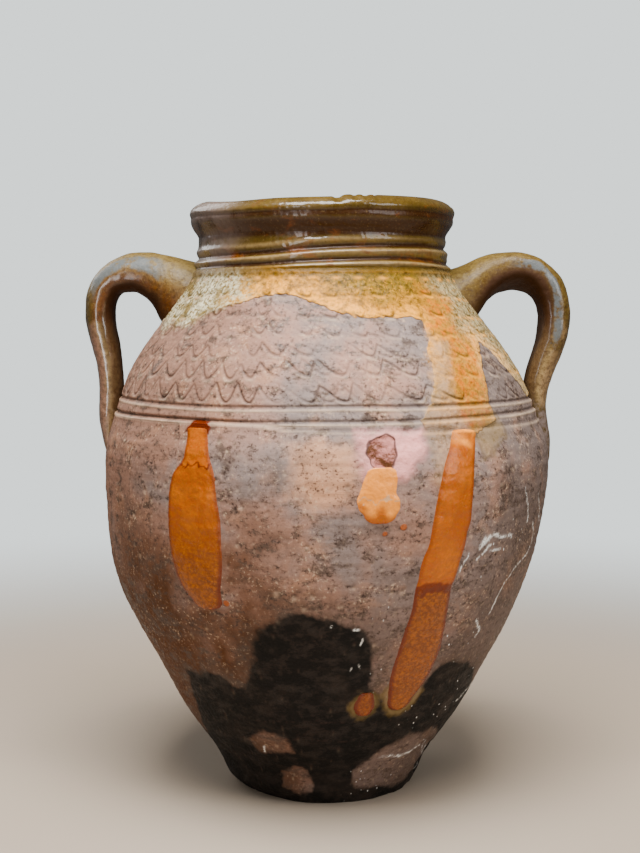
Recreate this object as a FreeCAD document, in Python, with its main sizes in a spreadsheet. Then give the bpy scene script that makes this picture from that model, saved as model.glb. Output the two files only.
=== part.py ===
import FreeCAD, Part
import os
import Sketcher
from math import atan2, cos, degrees, radians, sin, sqrt

# Two-handled storage jar, thrown on the wheel in sections that are luted together.
# Millimetres, +Z up. The origin is the middle of the foot, on the surface the jar stands on.
# X runs from the left handle to the right one, and -Y is the front with the glaze runs.
# Each section is a full turn of an outline in (distance from the axis, height). Two sections
# that meet share one slanted seam, so their faces fit. Outlines run anticlockwise.

SIZES = {
    # Foot slab, with the round heel that it stands on
    "foot_radius": 57.0,
    "heel_spread": 3.5,
    "heel_height": 5.0,
    "heel_bulge": 0.9,
    "foot_height": 16.0,
    "foot_flare": 8.0,
    "floor_thickness": 11.0,
    "floor_inset": 7.0,
    # Lower body, a nearly straight cone up to the kink where the belly was luted on
    "lower_body_height": 106.0,
    "kink_step": 13.3,
    "lower_bulge": 3.0,
    "lower_inner_bulge": 4.0,
    # Belly
    "belly_height": 107.0,
    "belly_rise": 80.0,
    "belly_radius": 137.8,
    "belly_lower_bulge": 3.6,
    "belly_upper_bulge": 1.5,
    "wall": 8.0,
    "seam_rise": 2.5,
    # Shoulder, with the grooved band at its foot
    "band_step": 5.8,
    "band_height": 16.0,
    "band_taper": 5.5,
    "shoulder_height": 74.0,
    "shoulder_bulge": 1.9,
    "shoulder_inner_bulge": 4.3,
    "band_groove_radius": 1.7,
    "band_groove_low": 4.5,
    "band_groove_step": 8.0,
    # Neck collar, with its two grooves, round the bore of the mouth
    "mouth_radius": 67.5,
    "neck_wall": 8.5,
    "neck_taper": 3.5,
    "neck_height": 17.0,
    "neck_seam_drop": 3.0,
    "neck_groove_radius": 1.5,
    "neck_groove_low": 3.5,
    "neck_groove_step": 7.5,
    # Rolled rim and mouth
    "rim_height": 24.0,
    "rim_cove_height": 6.5,
    "rim_cove_spread": 3.5,
    "rim_cove_bulge": 0.7,
    "rim_overhang": 6.2,
    "rim_crown": 9.5,
    "rim_crown_bulge": 2.6,
    "lip_roll": 6.0,
    "lip_drop": 7.0,
    "lip_bulge": 1.9,
    "rim_seam_rise": 4.0,
    # Glaze lining
    "lining_thickness": 0.6,
    # Glaze runs on the front: how far below the band each starts, swells and stops, and there
    # how far its middle lies to one side and how wide it is
    "run_thickness": 1.0,
    "run_bulge": 0.8,
    "left_run_top": 1.0,
    "left_run_swell": 55.0,
    "left_run_low": 90.0,
    "left_run_end": 100.0,
    "left_run_top_side": 68.0,
    "left_run_swell_side": 70.5,
    "left_run_low_side": 64.5,
    "left_run_top_width": 11.5,
    "left_run_swell_width": 29.0,
    "left_run_low_width": 19.0,
    "right_run_top": 1.0,
    "right_run_swell": 70.0,
    "right_run_low": 135.0,
    "right_run_end": 163.0,
    "right_run_top_side": 77.0,
    "right_run_swell_side": 66.5,
    "right_run_low_side": 52.0,
    "right_run_top_width": 14.5,
    "right_run_swell_width": 22.0,
    "right_run_low_width": 22.0,
    "high_drop_top": 20.0,
    "high_drop_swell": 36.0,
    "high_drop_end": 50.0,
    "high_drop_side": 29.8,
    "high_drop_top_width": 12.8,
    "high_drop_width": 23.8,
    "low_drop_top": 150.0,
    "low_drop_swell": 159.0,
    "low_drop_end": 167.0,
    "low_drop_side": 22.8,
    "low_drop_top_width": 5.0,
    "low_drop_width": 13.0,
    # Handles: a pulled strap, wide where it is luted on and thin at its smeared tail
    "root_thickness": 60.0,
    "root_width": 60.0,
    "root_flare": 2.0,
    "arch_thickness": 25.7,
    "arch_width": 34.0,
    "side_thickness": 17.0,
    "side_width": 32.0,
    "joint_thickness": 15.0,
    "joint_width": 29.0,
    "tail_thickness": 14.5,
    "tail_width": 24.0,
    "tail_end_thickness": 10.0,
    "tail_end_width": 15.0,
    "joint_rise": 8.0,
    "tail_out": -0.5,
    "tail_rise": 6.0,
    "tail_end_sink": 9.0,
    "tail_end_drop": 26.0,
    "left_eye_inset": 11.2,
    "left_eye_drop": 27.0,
    "left_eye_radius": 13.6,
    "left_joint_out": 4.5,
    "right_eye_inset": 7.2,
    "right_eye_drop": 31.0,
    "right_eye_radius": 16.2,
    "right_joint_out": 7.7,
}

# Shape of the strap's section: how much of it the outer and the inner corners round off
OUTER_ROUND = 0.46
INNER_ROUND = 0.30
# How far a quarter-round corner bows out from its chord, as a share of its radius
QUARTER_BULGE = 1 - sqrt(0.5)
# Bow of the round end of a glaze run, on each side of its tip, as a share of its width there
TIP_BOW = 0.14
# Sections of a handle's arch, as angles about the eye that it bends round: 180 lies inside
# the shoulder, 90 is the top of the arch and 0 is its outermost point
ARCH_ANGLES = (205, 180, 150, 120, 90, 60, 30, 0)

document = FreeCAD.newDocument("jar")
sheet = document.addObject("Spreadsheet::Sheet", "sizes")
for row, (alias, number) in enumerate(SIZES.items(), start=1):
    sheet.set("A%d" % row, alias)
    sheet.set("B%d" % row, str(number))
    sheet.setAlias("B%d" % row, alias)
document.recompute()


class Size:
    """A length together with the sheet formula that gives it."""

    def __init__(self, value, formula):
        self.value = value
        self.formula = formula

    def __add__(self, other):
        other = as_size(other)
        return Size(self.value + other.value, "(%s + %s)" % (self.formula, other.formula))

    def __sub__(self, other):
        other = as_size(other)
        return Size(self.value - other.value, "(%s - %s)" % (self.formula, other.formula))

    def __mul__(self, other):
        other = as_size(other)
        return Size(self.value * other.value, "(%s * %s)" % (self.formula, other.formula))

    def __truediv__(self, other):
        other = as_size(other)
        return Size(self.value / other.value, "(%s / %s)" % (self.formula, other.formula))


def as_size(thing):
    return thing if isinstance(thing, Size) else Size(float(thing), repr(float(thing)))


def size(alias):
    return Size(float(sheet.get(alias)), "sizes.%s" % alias)


def smaller(one, other):
    return Size(min(one.value, other.value), "min(%s; %s)" % (one.formula, other.formula))


def turn_angle(across, up):
    """The angle in degrees, from +Z towards +X, of the direction (across, up)."""
    formula = "(atan2(%s; %s) / 1 deg)" % (across.formula, up.formula)
    return Size(degrees(atan2(across.value, up.value)), formula)


def arc_radius(start, end, bulge):
    """Radius of the arc over a chord that it leaves by bulge at the middle."""
    across = end[0] - start[0]
    up = end[1] - start[1]
    return ((across * across + up * up) / 4 + bulge * bulge) / (bulge * 2)


def draw_outline(sketch, corners):
    """Draw a closed outline and bind it to the sheet.

    Each corner is (across, up, bulge): bulge bows the edge to the next corner out of the
    shape, or into it when it is given as a pair ("in", bulge); None leaves it straight.
    """
    edges = []
    for place, (across, up, bulge) in enumerate(corners):
        start = (as_size(across), as_size(up))
        end = tuple(as_size(value) for value in corners[(place + 1) % len(corners)][:2])
        edges.append((start, end, bulge))
    start_marks = []
    end_marks = []
    for start, end, bulge in edges:
        first = FreeCAD.Vector(start[0].value, start[1].value, 0)
        last = FreeCAD.Vector(end[0].value, end[1].value, 0)
        if bulge is None:
            number = sketch.addGeometry(Part.LineSegment(first, last), False)
            start_marks.append((number, 1))
            end_marks.append((number, 2))
            continue
        inwards = isinstance(bulge, tuple)
        depth = bulge[1] if inwards else bulge
        radius = arc_radius(start, end, depth)
        if inwards:
            first, last = last, first
        chord = last - first
        left = FreeCAD.Vector(-chord.y, chord.x, 0).normalize()
        centre = (first + last) * 0.5 + left * (radius.value - depth.value)
        angles = [atan2(point.y - centre.y, point.x - centre.x) for point in (first, last)]
        circle = Part.Circle(centre, FreeCAD.Vector(0, 0, 1), radius.value)
        number = sketch.addGeometry(Part.ArcOfCircle(circle, angles[0], angles[1]), False)
        start_marks.append((number, 2 if inwards else 1))
        end_marks.append((number, 1 if inwards else 2))
        bind(sketch, "Radius", (number,), radius)
    for place, (start, end, bulge) in enumerate(edges):
        following = start_marks[(place + 1) % len(edges)]
        sketch.addConstraint(Sketcher.Constraint("Coincident", *end_marks[place], *following))
        bind_point(sketch, start_marks[place], start)


def bind(sketch, kind, marks, length):
    number = sketch.addConstraint(Sketcher.Constraint(kind, *marks, length.value))
    sketch.setExpression("Constraints[%d]" % number, length.formula)


def bind_point(sketch, mark, point):
    """Fix one point of a sketch by its two distances from the sketch's origin."""
    across, up = point
    if across.formula == "0.0":
        sketch.addConstraint(Sketcher.Constraint("PointOnObject", *mark, -2))
    else:
        bind(sketch, "DistanceX", (-1, 1, *mark), across)
    if up.formula == "0.0":
        sketch.addConstraint(Sketcher.Constraint("PointOnObject", *mark, -1))
    else:
        bind(sketch, "DistanceY", (-1, 1, *mark), up)


def new_body(name):
    body = document.addObject("PartDesign::Body", name)
    body.Label = name
    return body


def new_sketch(body, name, role):
    sketch = body.newObject("Sketcher::SketchObject", name)
    plane = next(item for item in body.Origin.OriginFeatures if item.Role == role)
    sketch.AttachmentSupport = (plane, [""])
    sketch.MapMode = "FlatFace"
    return sketch


def turned_section(name, corners):
    """A body made by one full turn of an outline about the jar's axis."""
    body = new_body(name)
    sketch = new_sketch(body, name + "_outline", "XZ_Plane")
    draw_outline(sketch, corners)
    turn = body.newObject("PartDesign::Revolution", name + "_turn")
    turn.Profile = sketch
    turn.ReferenceAxis = (sketch, ["V_Axis"])
    turn.Angle = 360.0
    document.recompute()
    return body


def cut_ring(body, name, across, up, radius):
    """Cut a half-round groove right round a body, where a tool ran on the turning clay."""
    before = body.Shape.Volume
    sketch = new_sketch(body, name + "_outline", "XZ_Plane")
    circle = Part.Circle(FreeCAD.Vector(across.value, up.value, 0), FreeCAD.Vector(0, 0, 1), radius.value)
    number = sketch.addGeometry(circle, False)
    bind(sketch, "Radius", (number,), radius)
    bind_point(sketch, (number, 3), (across, up))
    groove = body.newObject("PartDesign::Groove", name)
    groove.Profile = sketch
    groove.ReferenceAxis = (sketch, ["V_Axis"])
    groove.Angle = 360.0
    document.recompute()
    if body.Shape.Volume >= before:
        raise RuntimeError("%s removes nothing" % name)


def boolean(kind, name, base, tool):
    result = document.addObject("Part::" + kind, name)
    result.Base = base
    result.Tool = tool
    result.Label = name
    document.recompute()
    return result


# Heights of the seams, added up from the heights of the sections
foot_top = size("foot_height")
kink = foot_top + size("lower_body_height")
widest = kink + size("belly_rise")
band = kink + size("belly_height")
band_top = band + size("band_height")
neck_root = band_top + size("shoulder_height")
neck_top = neck_root + size("neck_height")
top = neck_top + size("rim_height")
mouth_edge = top - size("lip_drop")
floor = size("floor_thickness")
wall = size("wall")

# Outer radii, worked out from the foot's, the belly's and the mouth's
foot_radius = size("foot_radius")
belly_radius = size("belly_radius")
kink_radius = belly_radius - size("kink_step")
band_radius = belly_radius - size("band_step")
band_top_radius = band_radius - size("band_taper")
mouth_radius = size("mouth_radius")
neck_top_radius = mouth_radius + size("neck_wall")
neck_root_radius = neck_top_radius + size("neck_taper")

# Seams, each from its outer to its inner end
foot_seam = ((foot_radius + size("foot_flare"), foot_top), (foot_radius - size("floor_inset"), floor))
kink_seam = ((kink_radius, kink), (kink_radius - wall, kink + size("seam_rise")))
band_seam = ((band_radius, band), (band_radius - wall, band + size("seam_rise")))
neck_seam = ((neck_root_radius, neck_root), (mouth_radius, neck_root - size("neck_seam_drop")))
rim_seam = ((neck_top_radius, neck_top), (mouth_radius, neck_top + size("rim_seam_rise")))

# Corners of the outline between the seams
heel = (foot_radius + size("heel_spread"), size("heel_height"))
belly_line = (belly_radius, widest)
belly_inside = (belly_radius - wall, widest)
band_shoulder = (band_top_radius, band_top)


def outside(grow):
    """Outer outline from the floor up to the lip, with every radius grown by the same length."""
    return [
        (foot_radius + grow, 0, size("heel_bulge")),
        (heel[0] + grow, heel[1], None),
        (foot_seam[0][0] + grow, foot_seam[0][1], size("lower_bulge")),
        (kink_seam[0][0] + grow, kink_seam[0][1], size("belly_lower_bulge")),
        (belly_line[0] + grow, belly_line[1], size("belly_upper_bulge")),
        (band_seam[0][0] + grow, band_seam[0][1], None),
        (band_shoulder[0] + grow, band_shoulder[1], size("shoulder_bulge")),
        (neck_seam[0][0] + grow, neck_seam[0][1], None),
        (rim_seam[0][0] + grow, rim_seam[0][1], None),
    ]


def groove_across(height, low, high):
    """Radius, at a height, of the straight flank between two outline corners."""
    share = (height - low[1]) / (high[1] - low[1])
    return low[0] + (high[0] - low[0]) * share


def cut_band_grooves(body):
    first = band + size("band_groove_low")
    for number, height in enumerate((first, first + size("band_groove_step")), start=1):
        across = groove_across(height, band_seam[0], band_shoulder)
        name = "%s_band_groove_%d" % (body.Name, number)
        cut_ring(body, name, across, height, size("band_groove_radius"))


def cut_neck_grooves(body):
    first = neck_root + size("neck_groove_low")
    for number, height in enumerate((first, first + size("neck_groove_step")), start=1):
        across = groove_across(height, neck_seam[0], rim_seam[0])
        name = "%s_collar_groove_%d" % (body.Name, number)
        cut_ring(body, name, across, height, size("neck_groove_radius"))


# Foot slab
foot_disc = turned_section("foot_disc", [
    (0, 0, None),
    (foot_radius, 0, size("heel_bulge")),
    (*heel, None),
    (*foot_seam[0], None),
    (*foot_seam[1], None),
    (0, floor, None),
])

# Lower body
lower_body = turned_section("lower_body", [
    (*foot_seam[0], size("lower_bulge")),
    (*kink_seam[0], None),
    (*kink_seam[1], ("in", size("lower_inner_bulge"))),
    (*foot_seam[1], None),
])

# Belly
belly = turned_section("belly", [
    (*kink_seam[0], size("belly_lower_bulge")),
    (*belly_line, size("belly_upper_bulge")),
    (*band_seam[0], None),
    (*band_seam[1], ("in", size("belly_upper_bulge"))),
    (*belly_inside, ("in", size("belly_lower_bulge"))),
    (*kink_seam[1], None),
])

# Shoulder with the grooved band
shoulder = turned_section("shoulder", [
    (*band_seam[0], None),
    (*band_shoulder, size("shoulder_bulge")),
    (*neck_seam[0], None),
    (*neck_seam[1], ("in", size("shoulder_inner_bulge"))),
    (*band_seam[1], None),
])
cut_band_grooves(shoulder)

# Neck collar
neck_collar = turned_section("neck_collar", [
    (*neck_seam[0], None),
    (*rim_seam[0], None),
    (*rim_seam[1], None),
    (*neck_seam[1], None),
])
cut_neck_grooves(neck_collar)

# Rolled rim: a cove under a round bead, and a lip that rolls over into the mouth
rolled_rim = turned_section("rolled_rim", [
    (*rim_seam[0], ("in", size("rim_cove_bulge"))),
    (neck_top_radius + size("rim_cove_spread"), neck_top + size("rim_cove_height"), size("rim_cove_bulge")),
    (neck_top_radius + size("rim_overhang"), top - size("rim_crown"), size("rim_crown_bulge")),
    (mouth_radius + size("lip_roll"), top, size("lip_bulge")),
    (mouth_radius, mouth_edge, None),
    (*rim_seam[1], None),
])

# Glaze lining, poured in and swilled round, from the floor to the lip
lining = size("lining_thickness")
inner_glaze = turned_section("inner_glaze", [
    (0, floor, None),
    (*foot_seam[1], size("lower_inner_bulge")),
    (*kink_seam[1], size("belly_lower_bulge")),
    (*belly_inside, size("belly_upper_bulge")),
    (*band_seam[1], size("shoulder_inner_bulge")),
    (*neck_seam[1], None),
    (mouth_radius, mouth_edge, None),
    (mouth_radius - lining, mouth_edge, None),
    (neck_seam[1][0] - lining, neck_seam[1][1], ("in", size("shoulder_inner_bulge"))),
    (band_seam[1][0] - lining, band_seam[1][1], ("in", size("belly_upper_bulge"))),
    (belly_inside[0] - lining, belly_inside[1], ("in", size("belly_lower_bulge"))),
    (kink_seam[1][0] - lining, kink_seam[1][1], ("in", size("lower_inner_bulge"))),
    (foot_seam[1][0] - lining, floor + lining, None),
    (0, floor + lining, None),
])


def solid_outside(name, grow):
    """The jar's outer form as a full solid, up to the neck's top, grown by one length."""
    return turned_section(name, [(0, 0, None)] + outside(grow) + [(0, neck_top, None)])


envelope = solid_outside("outer_form", 0)
cut_band_grooves(envelope)
cut_neck_grooves(envelope)


def strap_section(body, name, station):
    """One section of a strap: flat inside, round outside, square to its middle line."""
    across, up, angle, thickness, width = station
    sketch = new_sketch(body, name, "XY_Plane")
    sketch.AttachmentOffset = FreeCAD.Placement(
        FreeCAD.Vector(across.value, 0, up.value),
        FreeCAD.Rotation(FreeCAD.Vector(0, 1, 0), angle.value))
    sketch.setExpression("AttachmentOffset.Base.x", across.formula)
    sketch.setExpression("AttachmentOffset.Base.z", up.formula)
    sketch.setExpression("AttachmentOffset.Rotation.Angle", angle.formula)
    half = thickness / 2
    side = width / 2
    short = smaller(thickness, width)
    outer = short * OUTER_ROUND
    inner = short * INNER_ROUND
    outer_bulge = outer * QUARTER_BULGE
    inner_bulge = inner * QUARTER_BULGE
    nought = as_size(0)
    # With the strap running clockwise over its arch, its outer face is at -x of the section
    draw_outline(sketch, [
        (nought - half + outer, nought - side, None),
        (half - inner, nought - side, inner_bulge),
        (half, inner - side, None),
        (half, side - inner, inner_bulge),
        (half - inner, side, None),
        (nought - half + outer, side, outer_bulge),
        (nought - half, side - outer, None),
        (nought - half, outer - side, outer_bulge),
    ])
    return sketch


def on_arch(angle, top_size, root_size, side_size):
    """A size of the arch at an angle, which goes from its value at the top to one at each end."""
    far = root_size if angle > 90 else side_size
    return top_size + (far - top_size) * (1 - sin(radians(angle)))


def handle(name, hand):
    """A strap from the neck's root over an arch to a tail smeared down the belly."""
    eye = (band_top_radius - size(hand + "_eye_inset"), neck_root - size(hand + "_eye_drop"))
    shape = []
    for angle in ARCH_ANGLES:
        thickness, width = (on_arch(angle, *(size(part + kind) for part in ("arch_", "root_", "side_")))
                            for kind in ("thickness", "width"))
        inner = size(hand + "_eye_radius")
        reach = on_arch(angle, inner, inner + size("root_flare"), inner) + thickness / 2
        across = eye[0] + reach * cos(radians(angle))
        up = eye[1] + reach * sin(radians(angle))
        shape.append((across, up, as_size(-180 - angle), thickness, width))
    lower = [shape[-1][:2]] + [
        (band_top_radius + size(hand + "_joint_out"), band_top + size("joint_rise")),
        (band_radius + size("tail_out"), band + size("tail_rise")),
        (belly_radius - size("tail_end_sink"), band - size("tail_end_drop")),
    ]
    for place, kind in enumerate(("joint_", "tail_", "tail_end_"), start=1):
        before, here = lower[place - 1:place + 1]
        lean = turn_angle(here[0] - before[0], here[1] - before[1])
        last = shape[-1]
        station = (*here, lean, size(kind + "thickness"), size(kind + "width"))
        if kind != "tail_":
            shape.append(tuple((one + other) / 2 for one, other in zip(last, station)))
        shape.append(station)
    strap = new_body(name + "_strap")
    sketches = [strap_section(strap, "%s_section_%d" % (name, number), station)
                for number, station in enumerate(shape, start=1)]
    loft = strap.newObject("PartDesign::AdditiveLoft", name + "_loft")
    loft.Profile = sketches[0]
    loft.Sections = sketches[1:]
    document.recompute()
    return boolean("Cut", name, strap, envelope)


handle_right = handle("handle_right", "right")
handle_left = handle("handle_left", "left")
half_turn = FreeCAD.Rotation(FreeCAD.Vector(0, 0, 1), 180)
handle_left.Placement = FreeCAD.Placement(FreeCAD.Vector(0, 0, 0), half_turn)


def glaze_run(name, hand, stops, end):
    """Glaze that ran down the front: an outline seen from the front, laid on the clay.

    Each stop is (height, distance to one side, width) of the run. Its lower end is round.
    """
    flow = new_body(name + "_outline")
    sketch = new_sketch(flow, name + "_front", "XZ_Plane")
    nought = as_size(0)
    left_side = []
    right_side = []
    for height, aside, width in stops:
        middle = nought - aside if hand == "left" else aside
        left_side.append((middle - width / 2, height))
        right_side.append((middle + width / 2, height))
    low_left, low_right = left_side[-1], right_side[-1]
    tip = ((low_left[0] + low_right[0]) / 2, end)
    bow = (low_right[0] - low_left[0]) * TIP_BOW
    corners = [(*point, size("run_bulge")) for point in left_side[:-1]]
    corners += [(*low_left, bow), (*tip, bow)]
    corners += [(*point, size("run_bulge")) for point in right_side[:0:-1]]
    corners.append((*right_side[0], None))
    draw_outline(sketch, corners)
    pad = flow.newObject("PartDesign::Pad", name + "_reach")
    pad.Profile = sketch
    pad.setExpression("Length", (belly_radius * 2).formula)
    document.recompute()
    return boolean("Common", name, flow, glaze_skin)


def below_band(alias):
    return band - size(alias)


# Skin that the glaze runs are cut from: the outer form, one run's thickness larger
glaze_form = solid_outside("glaze_form", size("run_thickness"))
glaze_skin = boolean("Cut", "glaze_skin", glaze_form, envelope)

glaze_runs = [
    glaze_run("glaze_run_" + hand, hand, [
        (below_band(hand + "_run_" + stop), size("%s_run_%s_side" % (hand, stop)),
         size("%s_run_%s_width" % (hand, stop))) for stop in ("top", "swell", "low")],
        below_band(hand + "_run_end"))
    for hand in ("left", "right")]
glaze_runs += [
    glaze_run("glaze_drop_" + place, "right", [
        (below_band(place + "_drop_top"), size(place + "_drop_side"), size(place + "_drop_top_width")),
        (below_band(place + "_drop_swell"), size(place + "_drop_side"), size(place + "_drop_width"))],
        below_band(place + "_drop_end"))
    for place in ("high", "low")]

parts = [foot_disc, lower_body, belly, shoulder, neck_collar, rolled_rim]
parts += [handle_left, handle_right, inner_glaze] + glaze_runs

document.recompute()
for item in document.Objects:
    if "Invalid" in item.State or "Error" in item.State:
        raise RuntimeError("%s did not recompute: %s" % (item.Label, item.State))
for item in parts:
    if item.Shape.isNull() or not item.Shape.isValid():
        raise RuntimeError("%s has no valid shape" % item.Label)

os.makedirs("parts", exist_ok=True)
for item in parts:
    item.Shape.exportStep("parts/%s.step" % item.Label)
    print("%-18s solids %d  volume %9.0f mm3" % (item.Label, len(item.Shape.Solids), item.Shape.Volume))
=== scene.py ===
from math import pi, radians

import bpy
import numpy as np
from bpy.props import FloatProperty, FloatVectorProperty, IntProperty, PointerProperty
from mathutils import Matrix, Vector


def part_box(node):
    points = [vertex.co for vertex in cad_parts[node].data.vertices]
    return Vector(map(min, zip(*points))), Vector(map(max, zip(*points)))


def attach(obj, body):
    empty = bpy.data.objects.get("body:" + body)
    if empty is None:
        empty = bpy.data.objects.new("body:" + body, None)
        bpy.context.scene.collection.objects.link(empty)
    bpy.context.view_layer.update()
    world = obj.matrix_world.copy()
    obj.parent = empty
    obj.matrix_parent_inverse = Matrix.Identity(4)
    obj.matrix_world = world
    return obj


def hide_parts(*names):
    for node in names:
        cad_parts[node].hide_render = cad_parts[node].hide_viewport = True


# A two-handled storage jar of partly glazed earthenware. The frame is loaded here, so that the
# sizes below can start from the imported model's own. Lengths in the functions are millimetres and
# become metres in the mesh. Azimuth is 0 at the front (-Y) and grows to the right (+X).
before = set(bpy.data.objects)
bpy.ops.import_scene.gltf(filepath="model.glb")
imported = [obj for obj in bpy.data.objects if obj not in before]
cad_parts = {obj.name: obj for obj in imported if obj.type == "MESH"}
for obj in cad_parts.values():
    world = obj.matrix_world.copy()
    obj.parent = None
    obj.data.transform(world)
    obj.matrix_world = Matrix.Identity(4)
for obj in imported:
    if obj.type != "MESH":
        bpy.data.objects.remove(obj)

bl_info = {
    "name": "Two-handled jar",
    "version": (1, 0, 0),
    "blender": (4, 5, 0),
    "location": "View3D > Sidebar > Jar",
    "description": "Builds the skin, handles, glaze and stage of a thrown storage jar",
    "category": "Add Mesh",
}

MM = 0.001
# Arc length of one degree of azimuth in the flat map that the marks are drawn on
MM_PER_DEGREE = 2.0
# How far from its outline a mask goes on growing
MASK_REACH = 30


def seam(node):
    """Height of a section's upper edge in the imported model."""
    return round(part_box(node)[1].z / MM, 3)


FOOT_TOP, KINK, BAND, NECK_ROOT, NECK_TOP = (
    seam(node) for node in ("foot_disc", "lower_body", "belly", "shoulder", "neck_collar"))
FLOOR = round(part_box("inner_glaze")[0].z / MM, 3)
# Heights of the grooved band and of the lining's upper edge, and of one turn of the ridges that the
# fingers left outside and inside
BAND_TALL = 17
LINING_TOP = 353
THROWING_PITCH = 5.6
LINING_PITCH = 8.5
# Height of a row of faces on the body, the band, the neck, the rim, the handles and the runs
BODY_ROW, BAND_ROW, NECK_ROW, RIM_ROW, STRAP_ROW, RUN_ROW = 1.15, 0.42, 0.4, 0.6, 0.85, 0.7
# Rows of the foot's side and of the lining, and rings of its floor
FOOT_ROWS, LINING_ROWS, FLOOR_RINGS = 26, 190, 8
# Points round a strap, across a run's face and across its back
STRAP_POINTS, FACE_POINTS, BACK_POINTS = 150, 71, 23
# How far a run's back and the wall's inner skin lie inside the wall, how far the lining's back does, and
# how thick the lining is
SUNK = 0.4
LINING_SUNK, LINING_THICK = 0.1, 0.6

# Outer outline from the foot to the rim's seam, as (height, radius)
OUTLINE = [
    (0, 57), (3, 58.6), (8.3, 61.6), (16.3, 65.2), (27, 71.4), (37.8, 79.3), (48.4, 86.5), (59, 92.8),
    (69.5, 98.1), (80, 103.6), (90.6, 109.4), (101, 114.9), (111.4, 119.8), (121.7, 124.4), (131.9, 128),
    (147, 132.1), (162, 134.6), (177, 136.4), (190, 137.6), (203, 137.9), (215, 136.3), (224, 133.4),
    (233.6, 130.1), (240.3, 127.6), (254, 122.1), (265, 115.9), (275.8, 108.6), (286.5, 100.6), (300, 91.2),
    (311, 83.8), (319, 79.5), (326, 77.4), (336, 76.1)]
# Inner outline, the face that the lining lies on
INSIDE = [
    (11, 49.4), (60, 83.5), (90, 100), (124.5, 115.9), (165, 126.4), (202, 129.4), (231.5, 123.4),
    (270, 103), (300, 81), (312, 70.5), (318, 67.3), (336, 67), (353, 67)]
# Underside of the foot from its middle, as (radius, height)
FOOT_UNDER = [(0.8, 1.2), (30, 1.1), (48, 0.6), (54, 0.05), (56, 0)]
# Rolled rim, as (radius, height), from its seam up over the lip and down inside the mouth
RIM = [
    (76.1, 336), (76.4, 338.2), (77.3, 340.6), (78.8, 342.9), (80.2, 345.2), (81.1, 347.3), (81.3, 349),
    (81.2, 350.4), (81.6, 351.8), (82.0, 353.6), (81.4, 355.6), (79.7, 357.4), (77.6, 358.9), (75, 359.9),
    (72.4, 359.9), (70.3, 359.0), (68.6, 357.2), (67.6, 354.8), (67.4, 352), (67.5, 346), (67.5, 340)]
# How deep the rim's hollows are, where glaze pooled and where painted shade falls in the cove under the
# bead, as (height, share)
RIM_HOLLOW = [(325, 0.3), (335, 0), (338, 0.4), (340, 0.9), (343.5, 0.9), (345.5, 0.5), (347.4, 0.3), (348.8, 0.6),
              (350.3, 0.75), (352, 0.2), (354, 0), (360, -0.1)]
# How far the jar's middle has moved to the right in the firing, as (height, distance)
LEAN = [(0, 0), (100, 0), (122, -0.6), (136, -0.3), (150, 0.4), (165, 1.2), (180, 2.0), (205, 2.7), (230, 2.1),
        (265, 0.8), (300, -0.1), (319, -0.3), (345, -0.2), (360, 0)]
# How far the lip dips, as (azimuth, distance)
LIP_DIP = [(-180, 0.2), (-120, -0.3), (-70, 0.4), (-52, 2.0), (-40, 2.6), (-18, 1.9), (-2, 1.7), (7, 1.3),
           (11, 0.3), (30, 0), (60, -0.4), (120, 0.5), (180, 0.2)]
# Chips out of the lip: azimuth, width in degrees, depth
LIP_CHIPS = [(6.5, 1.8, 0.9), (14, 1.3, 0.6), (19, 1.6, 0.7), (23.5, 1.0, 0.4), (-71, 2.0, 0.7), (118, 2.4, 1.1),
             (-148, 1.8, 0.8)]

# Grooves round the band and the neck: (azimuth, height) of each line, its depth and its width
BAND_GROOVES = [
    ([(-180, 241.6), (-76, 242.2), (-46, 241.5), (-26, 241.2), (-8, 241.8), (8, 242.2), (21, 241.7), (60, 242),
      (120, 241.2), (180, 241.6)], 0.8, 0.95),
    ([(-180, 234.6), (-79, 233.4), (-45, 234), (-20, 233.6), (0, 234.1), (21, 234.3), (44, 235.2), (74, 235.9),
      (120, 235.2), (180, 234.6)], 0.75, 0.9),
    ([(-180, 229.8), (-140, 231), (-100, 233.4), (-45, 234), (-20, 233.2), (-8, 230.9), (13, 229.3), (33, 228.7),
      (49, 229.3), (73, 229.6), (120, 229.2), (180, 229.8)], 0.6, 0.85)]
NECK_GROOVES = [
    ([(-180, 329.5), (-100, 326.5), (-64, 325.9), (-29, 326.8), (-5, 329.2), (10, 330.4), (31, 331.3), (62, 332.2),
      (100, 332), (180, 329.5)], 1.15, 1.35),
    ([(-180, 322.6), (-64, 319.9), (-29, 320.4), (-5, 322.1), (10, 322.9), (35, 323.9), (70, 322.9), (180, 322.6)],
     1.05, 1.2),
    ([(-180, 317.6), (-60, 317.4), (-20, 317.6), (10, 317.9), (29, 318.2), (66, 318.5), (180, 317.6)], 0.5, 1.0)]
# Round rolls beside the neck's grooves: how far above which groove, height and width
NECK_ROLLS = [(0, 4.2, 0.7, 1.7), (0, -3.5, 0.6, 1.9), (1, -3.0, 0.45, 1.5)]

# The combed waves: azimuths of the low turns that all the rows share, and how far apart the turns are
# before the first and after the last. Each row has its lowest height, its rise, its strength, and how
# much of it is left only at the turns
WAVE_TURNS = [-62.7, -55.2, -46.5, -39.2, -32.8, -25.6, -19.4, -11.9, -3.4, 5.6, 14.1, 24.5, 36.7, 46.6]
TURNS_BEFORE, TURNS_AFTER = 15, 14
PITCH_BEFORE, PITCH_AFTER = 7.82, 9.53
WAVE_ROWS = [(244.4, 9.6, 1.0, 0.1), (256.9, 8.6, 1.0, 0.1), (268.6, 6.8, 0.85, 0.25), (280.2, 5.4, 0.85, 0.75),
             (290.6, 4.6, 1.0, 0.85), (302.5, 3.6, 1.0, 0.9)]
# Passes of the comb: how far each is shifted in turns, the azimuths that it runs between, and its share
WAVE_PASSES = [(0, -200, 200, 1.0), (0.44, -14, 75, 0.5)]
# Height of the nicks of its top tooth
COMB_TOP = 314.6

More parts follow.
